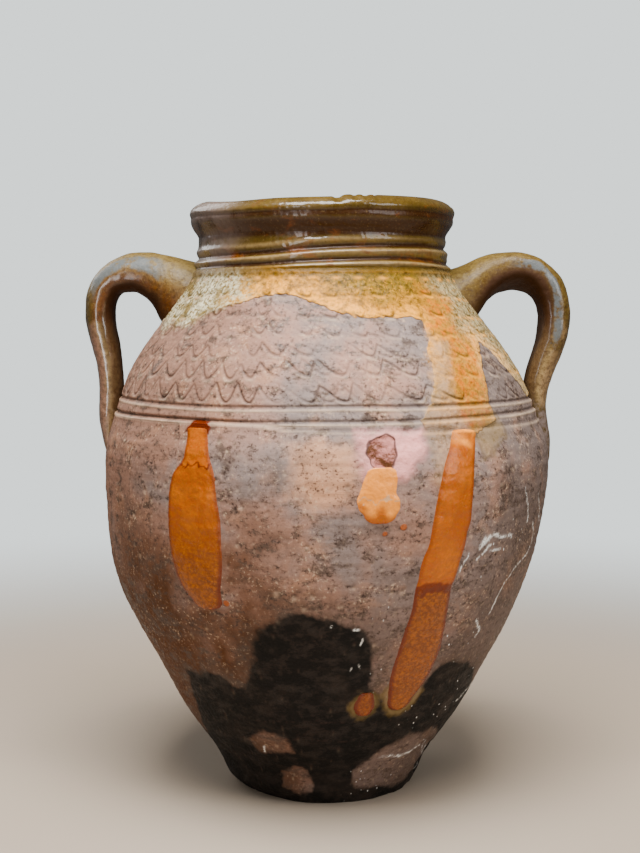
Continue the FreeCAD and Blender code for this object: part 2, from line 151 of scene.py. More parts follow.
# Outlines of the glaze, the smoke and the marks, as (azimuth, height)
GLAZE = [
    (-200, 284), (-163, 282), (-156, 262), (-148, 236), (-141, 232), (-136, 262), (-128, 284), (-110, 289),
    (-90, 287), (-74.5, 285.6), (-60.7, 283.9), (-50, 286.3), (-42, 291.1), (-32.6, 297.4), (-24.3, 301.3),
    (-18, 303), (-10.6, 302.4), (-5.5, 300.4), (2.7, 294.9), (10.6, 290.5), (17.2, 289.2), (35, 288.9),
    (33.9, 282), (31.9, 273.5), (30.4, 265), (29.6, 257), (28.8, 250.3), (27.3, 243), (24.4, 237.4), (22.9, 234),
    (23.5, 230), (31, 229), (39, 226), (43.5, 228.6), (47, 232), (46.4, 240.7),
    (47.7, 251.7), (49.3, 260), (52.9, 268.7), (56.9, 276), (61.8, 267.5), (67.6, 254), (74, 243), (84, 244),
    (90, 256), (97, 272), (106, 284), (118, 286), (124, 262), (129, 222), (135, 208), (141, 224), (147, 262),
    (156, 281), (170, 286), (200, 284), (200, 430), (-200, 430)]
ORANGE = [
    [(34.5, 282), (36.5, 288), (40, 292), (39.2, 297.6), (41.2, 304.7), (49.8, 304), (53.2, 299.6), (51.8, 294.3),
     (46.3, 287), (47.2, 282.8), (46.6, 277.5), (53.9, 274.5), (49.2, 262.8), (47.1, 251.7), (46.2, 240),
     (45.6, 234), (43.1, 230), (39, 226), (32.7, 227), (34.5, 244.2), (34.7, 254.2), (37.1, 265), (40.4, 273.3),
     (40.1, 276.8), (36, 279.4)],
    [(128, 290), (134, 262), (131, 226), (135, 210), (139, 226), (143, 262), (142, 290)],
    [(-158, 286), (-151, 262), (-146, 238), (-142, 236), (-140, 262), (-134, 288)]]
THIN_GLAZE = [(33.9, 281), (40.1, 276.8), (37.1, 265), (34.5, 252.5), (34.4, 243.3), (34, 228), (33, 214),
              (31, 200), (27.6, 193), (25, 203), (24.8, 213.9), (24, 222), (22.7, 228), (24.4, 237.4), (27, 242.2),
              (28.6, 248.7), (30.4, 265)]
SMOKE = [
    (-200, 66), (-170, 92), (-150, 98), (-134, 70), (-110, 42), (-80, 34), (-62, 40), (-53, 60), (-48, 84),
    (-38.4, 87.6), (-32.6, 86.4), (-29.3, 80.2), (-24.8, 80.3), (-21.4, 89.2), (-19.2, 99.6), (-18.9, 111.4),
    (-15.8, 119.3), (-11.5, 126.3), (-5.3, 129.5), (0.7, 126.9), (6.1, 123.1), (10.9, 118.9), (12.9, 110.3),
    (14.4, 96.4), (14.5, 84.3), (20.6, 71), (24.7, 66), (29.3, 67), (32.8, 74.2), (35.8, 87.4), (40.6, 92.8),
    (50.3, 90.2), (63.7, 78.6), (78, 56), (96, 40), (118, 52), (140, 86), (165, 94), (200, 66), (200, -60),
    (-200, -60)]
SMOKE_GAPS = [
    [(-31, 44), (-25, 51), (-17.5, 51.8), (-12.5, 44), (-12, 38), (-20, 35), (-28, 36)],
    [(-20, 22), (-14, 25), (-7.5, 24), (-4, 14), (-6, 8), (-15.7, 7.8), (-21, 13)],
    [(15, 23.5), (21.6, 29.4), (27.8, 39.5), (35.5, 44), (45.3, 45), (49.8, 47.8), (66, 36), (75, 19), (62.8, 13),
     (56.5, 6.7), (39.3, 7.6), (18.7, 9.6), (14.6, 14.5)]]
CHIP = [(9.8, 224.7), (9.1, 216.7), (9.9, 211.1), (12.3, 208.9), (14.8, 210), (16, 216.4), (15.8, 224.4),
        (13.2, 227.4)]
HALO = [(7.1, 229), (7.1, 220), (7, 209.6), (8.4, 202.6), (17.6, 203), (20.2, 208), (22.3, 214.3), (23.2, 224),
        (22.7, 229)]
LOW_HALO = [(11, 78.2), (9.6, 71), (10, 66.2), (12.2, 62.4), (15.4, 62.2), (17.8, 66.4), (18.1, 73), (16.6, 78.4)]
SIDE_LOBE = [(38, 232), (38.6, 222), (39.4, 213), (43, 215), (46.8, 219), (49.4, 224), (49.6, 230), (47, 236)]
RIGHT_TIP = [(21.6, 84), (19.9, 76), (20.6, 68), (24, 62.6), (28.6, 62.4), (32.4, 68), (34.4, 78), (32, 84)]
PINK_PATCH = [(-9, 221), (-3, 224), (6, 222), (7, 205), (4, 190), (-3, 187), (-8, 197)]
RUN_CAP = [(-36.6, 227.6), (-35.4, 231.2), (-32.4, 234), (-29.8, 232.6), (-28.4, 230), (-28.6, 227)]
FOOT_CHIP = [(50, 37), (58, 36), (68, 30), (80, 27), (84, 12), (72, 5), (63, 10), (58, 20), (52, 30)]
# The masks that say how far inside one of their outlines a place is, by name
MARKS = {"glaze": [GLAZE], "orange": ORANGE, "thin": [THIN_GLAZE], "film": [SIDE_LOBE, LOW_HALO, RIGHT_TIP],
         "halo": [HALO], "chip": [CHIP], "pink": [PINK_PATCH], "cap": [RUN_CAP]}
# Spots of amber glaze: azimuth, height and radius
AMBER_SPOTS = [(17.8, 177.6, 1.8), (13.5, 174.2, 1.5), (-23.9, 133.6, 1.6)]

# Dark clouds in the bare clay: azimuth, height, half the width and half the height, and how dark
SMUDGES = [(-9, 141, 15, 5, 0.9), (-3, 136, 12, 4, 0.6), (-23.5, 215, 5, 8, 0.8), (-19, 190, 14, 9, 0.5),
           (-14, 168, 18, 8, 0.6), (-12, 203, 7, 12, 0.6), (12, 176, 22, 5, 0.5), (-17, 150, 16, 7, 0.5),
           (20, 150, 12, 9, 0.4), (-56, 176, 16, 22, 0.6), (-48, 148, 22, 14, 0.7), (-52, 116, 26, 12, 0.8),
           (-34, 118, 22, 9, 0.6), (-60, 208, 10, 6, 0.4), (48, 196, 9, 22, 0.6), (58, 160, 14, 24, 0.6),
           (52, 128, 18, 12, 0.6), (-8, 214, 12, 6, 0.4), (44, 108, 14, 10, 0.6), (-22, 106, 10, 8, 0.5),
           (17, 108, 8, 12, 0.4), (-110, 180, 30, 24, 0.6), (110, 150, 34, 20, 0.6), (170, 190, 36, 18, 0.5),
           (-165, 140, 26, 20, 0.6)]

# White scratches and painted glints, and lines that throwing left, as (azimuth, height) from end to end, and a
# width
SCRATCHES_AND_GLINTS = [
    ([(40.2, 162.4), (44.2, 168.4), (52.1, 165.3)], 0.65), ([(39.6, 155.5), (43.4, 163.3)], 0.5),
    ([(44, 160), (49, 158.5)], 0.45), ([(56, 192), (57.4, 184.4), (61, 171)], 0.35),
    ([(64.7, 169.7), (68, 158), (60.3, 145.5), (54.4, 138.4), (52.5, 118.5)], 0.4),
    ([(66, 186), (71, 170)], 0.3), ([(27.2, 31.6), (38.4, 29.7), (48.8, 33), (54.3, 35.2)], 0.6),
    ([(60, 60), (70, 64), (78, 71)], 0.5), ([(46, 117), (50, 111), (49, 106)], 0.6), ([(36, 160), (35, 150)], 0.3),
    ([(-24.8, 36.6), (-24.6, 39)], 0.9), ([(8.6, 119.6), (9.4, 120.4)], 0.35), ([(10, 111), (10.2, 114)], 0.3),
    ([(7.6, 95), (8.2, 96.4)], 0.35), ([(10.6, 96), (10.3, 98)], 0.3), ([(2.0, 121), (2.6, 121.6)], 0.35),
    ([(66, 26), (74, 15), (70, 9)], 0.5), ([(57, 32), (63, 24)], 0.35)]
THROWING_LINES = [([(-84, 207), (-66, 206), (-47, 204)], 0.5), ([(-40, 134), (-8, 132.5), (28, 131.5)], 0.35),
                  ([(-34, 58), (-5, 60), (26, 59)], 0.3), ([(-30, 47.5), (0, 47), (30, 48)], 0.3),
                  ([(-60, 211), (-48, 210.5)], 0.35), ([(-12, 172), (22, 171)], 0.25),
                  ([(30, 150), (76, 149)], 0.25)]
# Larger pits that burnt out: azimuth, height and size. The small ones are strewn
PITS = [(-25.3, 218.1, 0.8), (-23, 218.3, 0.7), (-23.8, 210.1, 0.7), (-20.6, 216.9, 0.8), (-10.9, 143.4, 1.6),
        (-6.6, 140.2, 1.3), (-2.2, 140.3, 0.9), (37.5, 119, 0.9), (40.8, 116.9, 0.8), (0, 116.6, 0.7),
        (3.1, 115.7, 0.7), (-5.5, 291.4, 1.5), (-42, 290, 0.8), (12, 286, 1.1), (9, 284.5, 1.0), (20, 246.6, 0.9)]
SMALL_PITS = 1500

# Handles: for each section of the strap, its outer and its inner point as (distance out, height), half its
# width, and its roll in degrees about the strap's own line
LEFT_STRAP = [
    (-64, 321, -82, 268, 27, 0), (-84.5, 326.2, -93, 280, 24, 0), (-97, 329.2, -99.8, 288, 20.5, 0),
    (-107.5, 330.8, -103.6, 296, 18.2, 0), (-118, 330.4, -109.2, 302.4, 17.4, 0),
    (-128.8, 326.6, -116.5, 305.8, 17, 0), (-138.0, 320, -123.2, 305.4, 16.5, 0),
    (-143.6, 312, -127.2, 301.6, 16.2, 0), (-146.3, 302.6, -128.8, 296.4, 16, 0),
    (-146.9, 291, -129.1, 289.6, 16, 0), (-145.2, 280.4, -128.1, 281, 16, 0),
    (-142.6, 270, -126.4, 271.4, 15.8, 0), (-140.4, 260, -125.1, 260.5, 15.4, 0),
    (-139.6, 250, -124.4, 250, 14.6, 0), (-139.8, 239, -124.9, 239, 13.6, 0),
    (-139.3, 227, -126.2, 227, 12.2, 0), (-137.6, 215.4, -128.0, 216, 10.2, 0),
    (-135.6, 206.6, -130, 207.4, 7.5, 0), (-133, 200, -130.4, 201, 4.5, 0)]
RIGHT_STRAP = [
    (64, 316, 78, 268, 27, 0), (86.5, 322.8, 91, 283, 23, 2), (97.6, 327.4, 98.2, 294.4, 19.4, 8),
    (107.5, 329.5, 104, 302.8, 17.8, 13), (119.5, 329.7, 111.8, 308.4, 17.2, 17),
    (131, 326.8, 120.5, 309.9, 17, 18), (140.6, 321.6, 127.4, 307.8, 16.6, 15),
    (148.3, 314.6, 132, 303.4, 16.2, 8), (152.8, 304, 135, 297, 16, 3),
    (154.2, 293.4, 136, 290, 16, 0), (153, 281, 135, 279.6, 16, 0),
    (149, 267.2, 131.8, 268, 16, 0), (144.2, 256, 128.8, 258, 15.6, 0), (141, 246, 127, 248, 14.8, 0),
    (140.1, 236, 127.4, 237, 13.8, 0), (141.0, 224.6, 129, 225, 12.6, 0), (142.3, 213, 131.2, 213, 11, 0),
    (142.2, 203.6, 134.6, 204, 9, 0), (139.6, 194, 136, 195, 5.5, 0)]

# Glaze runs and drops, as (height, azimuth of the left edge, azimuth of the right edge, thickness), downwards
LEFT_RUN = [
    (228.5, -35.4, -29.3, 0.5), (222, -35.1, -28.5, 0.7), (214, -35.2, -27.7, 0.8), (209, -36.4, -26.7, 0.9),
    (205, -37.8, -26, 0.9), (194, -39.2, -25.2, 0.9), (177, -40, -24.4, 1.0), (160, -39.7, -24.3, 1.1),
    (147, -38.2, -24.7, 1.3), (139, -36.2, -24.9, 1.5), (134, -34, -24.8, 1.6)]
RIGHT_RUN = [
    (227, 30.6, 38.6, 0.6), (219, 29.2, 37.4, 0.8), (207, 27.2, 36.4, 0.9), (194, 25.8, 36, 0.9),
    (181, 25, 36, 0.9), (169, 24.2, 34.8, 0.9), (157, 23.2, 34.5, 0.9), (147, 23.4, 34.2, 1.0),
    (141, 23, 33.5, 1.2), (131, 22.9, 33.7, 1.1), (116, 21.7, 34.5, 1.0), (100, 20.8, 35.3, 1.1),
    (88, 20.4, 34.6, 1.3), (79, 20.8, 33, 1.6), (73, 21.6, 31.2, 1.7)]
HIGH_DROP = [(207.5, 8.6, 15.8, 0.5), (203.5, 8.0, 16.2, 0.6), (199.5, 7.6, 16, 0.8), (196.5, 7.2, 15.8, 1.0),
             (192, 6.4, 16.5, 1.2), (188, 6.6, 16.3, 1.2), (184.5, 7.8, 15.4, 1.2)]
LOW_DROP = [(75.5, 11.0, 16.6, 0.8), (72, 10.3, 17.2, 1.2), (69, 10.2, 17.4, 1.5), (66.8, 10.9, 16.8, 1.5)]

# Each run or drop: its piece, its sections, how long its crown and its end are, the dark lines across it as
# (height, half its width, strength), its look, which glaze_drop explains, and its node
RUNS = [
    ("run_left_skin", LEFT_RUN, 1.5, 5.5, [(209.3, 0.7, 1.0), (170, 0.4, 0.3)], (300, 168, 26, 0.6),
     "glaze_run_left"),
    ("run_right_skin", RIGHT_RUN, 2, 8, [(141.5, 3.0, 1.0), (209, 0.5, 0.3)], (224, 142, 2, 0.45),
     "glaze_run_right"),
    ("drop_high_skin", HIGH_DROP, 3, 5, [(192.5, 0.5, -0.8)], (186, -20, 2, 0), "glaze_drop_high"),
    ("drop_low_skin", LOW_DROP, 4, 3.5, [(71, 12, 0.35)], (300, 90, 2, 0.3), "glaze_drop_low")]

# How square the outer side of a strap's section is, 2 being round. Each handle: its side, its strap, how
# square the inner side is, the seed of its unevenness, and its glaze, which handle_look explains
OUTER_SQUARENESS = 2.1
HANDLES = [
    ("left", LEFT_STRAP, 2.6, 31, {"tan": 0.5, "low_tan": 0.45, "warm": 0.75, "blush": 0.8, "gloss": 1.0,
                                   "sheen_streak": (0.17, 0.42, -0.5), "bare_from": 0.93}),
    ("right", RIGHT_STRAP, 4.2, 41, {"tan": 0.3, "low_tan": 1.0, "warm": 0.15, "blush": 0.2, "gloss": 0.35,
                                     "sheen_streak": (0.28, 0.6, 0.0), "bare_from": 0.77})]

# The stage, in metres and watts. Each light: its name, its place, the point that it shines at, size and power
LIGHTS = [
    ("window", (1.1, -0.86, 0.68), (0, 0, 0.2), (0.56, 0.8), 10),
    ("far_window", (-0.43, -1.19, 0.34), (0, 0, 0.25), (0.24, 1.1), 6),
    ("ceiling", (-0.02, -0.42, 1.3), (0, -0.05, 0.25), (0.8, 0.7), 44),
    ("behind", (-0.9, 0.9, 1.0), (0, 0, 0.2), (0.8, 0.8), 6)]
# How strongly the surroundings shine on the jar, and how bright they are to the camera
ROOM_LIGHT, ROOM_SEEN = 0.16, 2.1
# The floor is whole up to one distance from the jar and gone at the other, and clouded with this colour
FLOOR_WHOLE, FLOOR_GONE, FLOOR_RADIUS = 0.3, 1.1, 3
FLOOR_CLOUD = (0.3, 0.28, 0.26)
CAMERA_ASIDE = -0.00125


class JarForm(bpy.types.PropertyGroup):
    """Sizes of the jar's skin"""
    columns: IntProperty(name="Columns", description="Faces round each section", default=960, min=96, max=960)
    row_height: FloatProperty(name="Row height", description="Height of a row of faces on the shoulder",
                              default=0.0006, min=0.0004, max=0.01, unit="LENGTH")
    throwing_ridge: FloatProperty(name="Throwing ridge", description="Height of the ridges left by the fingers",
                                  default=0.00009, min=0, max=0.001, unit="LENGTH")
    wave_depth: FloatProperty(name="Wave depth", description="Depth of the combed wavy lines", default=0.00065,
                              min=0, max=0.002, unit="LENGTH")
    glaze_step: FloatProperty(name="Glaze step", description="Thickness of the glaze on the shoulder",
                              default=0.0004, min=0, max=0.001, unit="LENGTH")


def colour(name, about, red, green, blue):
    """A colour property given by its sRGB values from 0 to 255, kept as linear light."""
    shares = np.array([red, green, blue]) / 255
    linear = np.where(shares <= 0.04045, shares / 12.92, ((shares + 0.055) / 1.055) ** 2.4)
    return FloatVectorProperty(name=name, description=about, default=[round(float(part), 4) for part in linear],
                               size=3, min=0, max=1, subtype="COLOR")


class JarClay(bpy.types.PropertyGroup):
    """Colours of the bare fired clay"""
    pink: colour("Pink clay", "Bare clay where the fire was clean", 170, 128, 108)
    grey: colour("Grey clay", "Bare clay where the fire was smoky", 132, 119, 114)
    ochre: colour("Ochre clay", "Warm patches of the bare clay", 210, 152, 112)
    # Brown is laid on the left and low down, partly as browner clay and partly as painted shade
    brown: colour("Brown clay", "Browned clay on the left and low down", 84, 49, 24)
    umber: colour("Dark mottle", "Dark clouds and flecks in the clay", 76, 61, 52)
    smoke: colour("Smoked clay", "Clay blackened by the smoke", 18, 17, 15)
    # The tool mark colour is painted shade in the tool marks and pits, and also the clay's dark specks and the
    # chip's outline
    burr_and_highlight: colour("Pale burr", "Raised edges beside the tool marks", 214, 184, 152)
    # The pale burr colour is a painted highlight on the raised edges beside the tool marks, and also colours pale
    # flecks
    incised_shade: colour("Tool mark", "Bottom of the tool marks", 58, 42, 36)
    chip: colour("Chipped clay", "Raw clay in the chips", 198, 128, 118)
    # The halo's lavender is lightened beyond the bloom's own colour as a painted highlight
    halo: colour("Lavender halo", "Thin glassy bloom round the drops", 255, 168, 160)
    # White of the scratches, also used for painted glints
    scratch_and_glint: colour("Scratch", "White scratches and glints", 246, 243, 236)


class JarGlaze(bpy.types.PropertyGroup):
    """Colours of the glaze"""
    honey: colour("Honey glaze", "Glaze on the shoulder", 186, 124, 24)
    peach: colour("Peach edge", "Thin glaze near its lower edge", 252, 168, 44)
    olive: colour("Olive glaze", "Thicker glaze under the neck", 122, 100, 30)
    # Cream is the crystals in the glaze on the left, with their sparkle painted in
    cream: colour("Cream glitter", "Crystals in the glaze on the left", 214, 202, 164)
    pale: colour("Thin glaze", "Thin pale glaze beside the run", 198, 158, 118)
    # Dark of glaze pooled in the hollows, also laid on as painted shade in the rim's cove, the neck's grooves and
    # under the handles
    pooled_and_shaded: colour("Hollow", "Glaze pooled in the hollows of the rim and neck", 52, 26, 3)
    rim: colour("Rim", "Glaze on the rim and neck", 92, 70, 16)
    ridge: colour("Ridge", "Thin glaze on the ridges of the rim and neck", 140, 114, 70)
    tan: colour("Tan", "Thin glaze on the tops of the handles", 134, 112, 62)
    russet: colour("Russet", "Orange-brown patches", 124, 62, 6)
    strap: colour("Strap", "Olive-brown glaze of the handles", 72, 54, 10)
    blush: colour("Blush", "Mauve-brown outside of a handle low down", 150, 108, 88)
    # The grey streak colour is a painted sheen along the handles' turn
    sheen_streak: colour("Grey bloom", "Worn grey streaks on the handles", 86, 90, 90)
    bare_tail: colour("Bare tail", "Unglazed end of a handle", 112, 96, 88)
    orange: colour("Orange glaze", "Iron-rich glaze over the shoulder", 208, 112, 4)
    apricot: colour("Apricot", "Bright thin glaze of the high drop and the top of the right run", 255, 156, 50)
    amber: colour("Amber", "Glaze runs", 168, 77, 0)
    amber_edge: colour("Amber edge", "Rim of the glaze runs", 96, 30, 0)
    lining: colour("Lining", "Glaze inside the jar", 112, 70, 24)


class JarStage(bpy.types.PropertyGroup):
    """Camera, light, floor and backdrop"""
    lens: FloatProperty(name="Lens", description="Focal length on a 36 mm sensor", default=58.24, min=10, max=200)
    distance: FloatProperty(name="Camera distance", description="From the jar's middle", default=0.8641, min=0.3,
                            max=5, unit="LENGTH")
    height: FloatProperty(name="Camera height", description="Above the floor", default=0.2862, min=0, max=2,
                          unit="LENGTH")
    pitch: FloatProperty(name="Pitch", description="How far the camera looks down", default=radians(4.248),
                         subtype="ANGLE")
    floor: colour("Floor", "Plain pale floor", 176, 158, 138)
    backdrop: colour("Backdrop", "Plain pale surroundings", 206, 212, 212)


# Working out shapes

def smooth_through(knots, at):
    """Values at the places given of a smooth curve through the knots, each (place, value).

    Between two knots the curve is the cubic that has the knots' slopes (Hermite's). A knot's slope
    is the harmonic mean of the slopes on its two sides, or nought where these differ in sign, so
    the curve never swings past a knot.
    """
    place, value = np.array(knots, float).T
    step = np.diff(place)
    slope = np.diff(value) / step
    same_sign = slope[1:] * slope[:-1] > 0
    total = np.where(same_sign, slope[1:] + slope[:-1], 1)
    inner = np.where(same_sign, 2 * slope[1:] * slope[:-1] / total, 0)
    tangent = np.concatenate([slope[:1], inner, slope[-1:]])
    index = np.clip(np.searchsorted(place, at) - 1, 0, len(step) - 1)
    share = np.clip((at - place[index]) / step[index], 0, 1)
    square, cube = share ** 2, share ** 3
    return ((2 * cube - 3 * square + 1) * value[index] + (3 * square - 2 * cube) * value[index + 1]
            + (cube - 2 * square + share) * step[index] * tangent[index]
            + (cube - square) * step[index] * tangent[index + 1])


def smooth_step(low, high, at):
    """0 below low, 1 above high, and 3t^2 - 2t^3 between."""
    share = np.clip((at - low) / (high - low), 0, 1)
    return share * share * (3 - 2 * share)


def ripple(points, size, seed, waves=18):
    """Smooth seeded noise of about -1 to 1: the sum of sine waves that run in random directions.

    Each wave is sin(k.p + phase), with its length between 0.7 and 1.5 times size.
    """
    random = np.random.default_rng(seed)
    direction = random.normal(size=(waves, 3))
    direction /= np.linalg.norm(direction, axis=1, keepdims=True)
    number = direction * (2 * pi / (size * random.uniform(0.7, 1.5, (waves, 1))))
    phase = random.uniform(0, 2 * pi, waves)
    total = np.zeros(points.shape[:-1])
    for wave, start in zip(number, phase):
        total += np.sin(points @ wave + start)
    return total / np.sqrt(waves)


def side_distance(across, up, start, end):
    """Distance to the straight side between two points."""
    run, rise = end[0] - start[0], end[1] - start[1]
    share = np.clip(((across - start[0]) * run + (up - start[1]) * rise) / (run * run + rise * rise), 0, 1)
    return np.hypot(across - start[0] - share * run, up - start[1] - share * rise)


def line_distance(across, up, line):
    """Least distance to an open line through its points."""
    least = np.inf
    for start, end in zip(line, line[1:]):
        least = np.minimum(least, side_distance(across, up, start, end))
    return least


def edge_distance(across, up, corners):
    """Signed distance from a closed outline, above nought inside it.

    It is the least distance to any side of the outline, with its sign from how many sides a line
    to the left crosses.
    """
    closed = corners + corners[:1]
    inside = np.zeros(across.shape, bool)
    for (left, low), (right, high) in zip(closed, closed[1:]):
        if high != low:
            inside ^= ((low > up) != (high > up)) & (across < (right - left) * (up - low) / (high - low) + left)
    least = line_distance(across, up, closed)
    return np.where(inside, least, -least)


def on_map(outline):
    """An outline in (azimuth, height) on the flat map, whose two directions are millimetres."""
    return [(azimuth * MM_PER_DEGREE, height) for azimuth, height in outline]


def azimuths(columns):
    """Azimuths of the columns, closer together at the front: 2 pi u - 0.35 sin(2 pi u)."""
    turn = 2 * pi * np.arange(columns) / columns
    return turn - 0.35 * np.sin(turn)


def wrapped(degree):
    """The same angle from -180 to 180."""
    return (degree + 180) % 360 - 180


def bell(distance, width):
    """exp(-(d/w)^2)."""
    return np.exp(-(distance / width) ** 2)


def combed(degree, height, radius, bare):
    """Combed wavy lines on the shoulder: how deep they cut and how much burr stands up, each from 0 to 1; the burr
    is also painted pale as a highlight.

    A row's line is z = low + rise (1 - |cos(pi p)|^1.3), where p counts the turns and leans so that
    the strokes down grow longer to the right. The cut is a bell of the distance to the line, and the
    burr a bell a little below it, most at the turns. Under glaze only the turns are left.
    """
    before = WAVE_TURNS[0] - PITCH_BEFORE * np.arange(TURNS_BEFORE, 0, -1)
    after = WAVE_TURNS[-1] + PITCH_AFTER * np.arange(1, TURNS_AFTER + 1)
    turns = np.concatenate([before, WAVE_TURNS, after])
    count = np.interp(degree, turns, np.arange(len(turns)) - float(TURNS_BEFORE))
    mm_per_degree = radius * pi / 180
    per_column = np.maximum(np.abs(np.gradient(degree, axis=1)) % 359 * mm_per_degree, 1e-6)
    leaning = smooth_step(-30, -12, degree)
    unevenness = ripple(np.stack([degree * 2, height, 0 * height], -1), 26, 5)
    cut = np.zeros(degree.shape)
    burr_and_highlight = np.zeros(degree.shape)
    for slip, least, most, share in WAVE_PASSES:
        here = share * smooth_step(least, least + 8, degree) * (1 - smooth_step(most - 8, most, degree))
        for row, (low, rise, strength, turns_only) in enumerate(WAVE_ROWS):
            moved = count + slip + 0.05 * np.sin(row * 2.1 + degree / 9) + 0.04 * row * leaning
            fraction = moved - np.floor(moved)
            crest = 0.5 - 0.27 * leaning
            phase = np.where(fraction < crest, 0.5 * fraction / crest,
                             0.5 + 0.5 * (fraction - crest) / (1 - crest))
            bow = np.abs(np.cos(pi * phase))
            reach = rise * (1 + 0.12 * np.sin(degree / 5 + 3 * row)) * (1 - 0.12 * leaning)
            line = low + reach * (1 - bow ** 1.3) + 0.8 * np.sin(degree / 13 + row) + 1.2 * leaning * (row == 1)
            slope = np.gradient(line, axis=1) / per_column
            away = (height - line) * 1.15 / np.sqrt(1 + np.minimum(np.abs(slope), 6) ** 2)
            kept = 1 - np.maximum(turns_only, 0.85 * (1 - bare)) * (1 - smooth_step(0.35, 0.85, bow))
            force = strength * here * kept * np.clip(0.9 + 0.45 * unevenness, 0.3, 1.1)
            cut = np.maximum(cut, force * bell(away, 0.8))
            burr_and_highlight = np.maximum(burr_and_highlight, force * (0.3 + 0.7 * bow ** 4) * bell(away + 1.9, 0.85))
    # The comb's top tooth only nicked the clay, once at each turn, with a raised lip below each nick that is
    # painted pale as a highlight
    nearest = np.abs(count - np.round(count)) * 8.2 * mm_per_degree
    nick = bell(nearest, 1.5) * bell(height - COMB_TOP, 1.1)
    lip = bell(nearest, 2.2) * bell(height - COMB_TOP + 2.4, 0.9)
    on_shoulder = smooth_step(242, 243.6, height)
    return np.maximum(cut, 0.9 * nick) * on_shoulder, np.maximum(burr_and_highlight, 0.9 * lip) * on_shoulder


def thrown(form, degree, height, radius, ridged=1.0):
    """How far the thrown skin stands off its outline, and the masks of its tool lines.

    It adds a slight ovalness, slow unevenness, the throwing spiral sin(2 pi z / pitch - a), and the
    lines turned into the band and the neck, each a bell cut with a smaller raised bell below it.
    """
    angle = np.radians(degree)
    plain = on_outline(degree, height, radius)
    out = 0.35 * np.cos(2 * angle - 0.9) + 0.22 * np.cos(3 * angle + 1.1) + 0.22 * ripple(plain, 70, 1)
    spiral = 2 * pi * height / THROWING_PITCH - angle + 0.9 * np.sin(2 * angle + height / 29)
    low_body = 1 - 0.6 * smooth_step(228, 236, height)
    out = out + ridged * form.throwing_ridge / MM * low_body * np.sin(spiral) * (0.6 + 0.5 * ripple(plain, 60, 2))
    out = out + 0.10 * ripple(plain * (0.4, 0.4, 1.6), 9, 3) + 0.05 * ripple(plain, 3.4, 4)
    cut = np.zeros(degree.shape)
    raised = np.zeros(degree.shape)
    for line, depth, width in BAND_GROOVES + NECK_GROOVES:
        above = height - smooth_through(line, degree)
        edge = bell(above + 2.1 * width, 0.8 * width)
        out = out - depth * bell(above, width) + 0.45 * depth * edge
        cut = np.maximum(cut, min(1, depth) * bell(above, width))
        raised = np.maximum(raised, min(1, depth) * edge)
    for number, above, tall, width in NECK_ROLLS:
        roll = bell(height - smooth_through(NECK_GROOVES[number][0], degree) - above, width)
        out = out + tall * roll
        raised = np.maximum(raised, 0.5 * roll)
    return out, cut, raised


def on_outline(degree, height, radius):
    """Points of the plain outline: (lean + r sin a, -r cos a, z)."""
    angle = np.radians(degree)
    return np.stack([smooth_through(LEAN, height) + radius * np.sin(angle), -radius * np.cos(angle), height], -1)


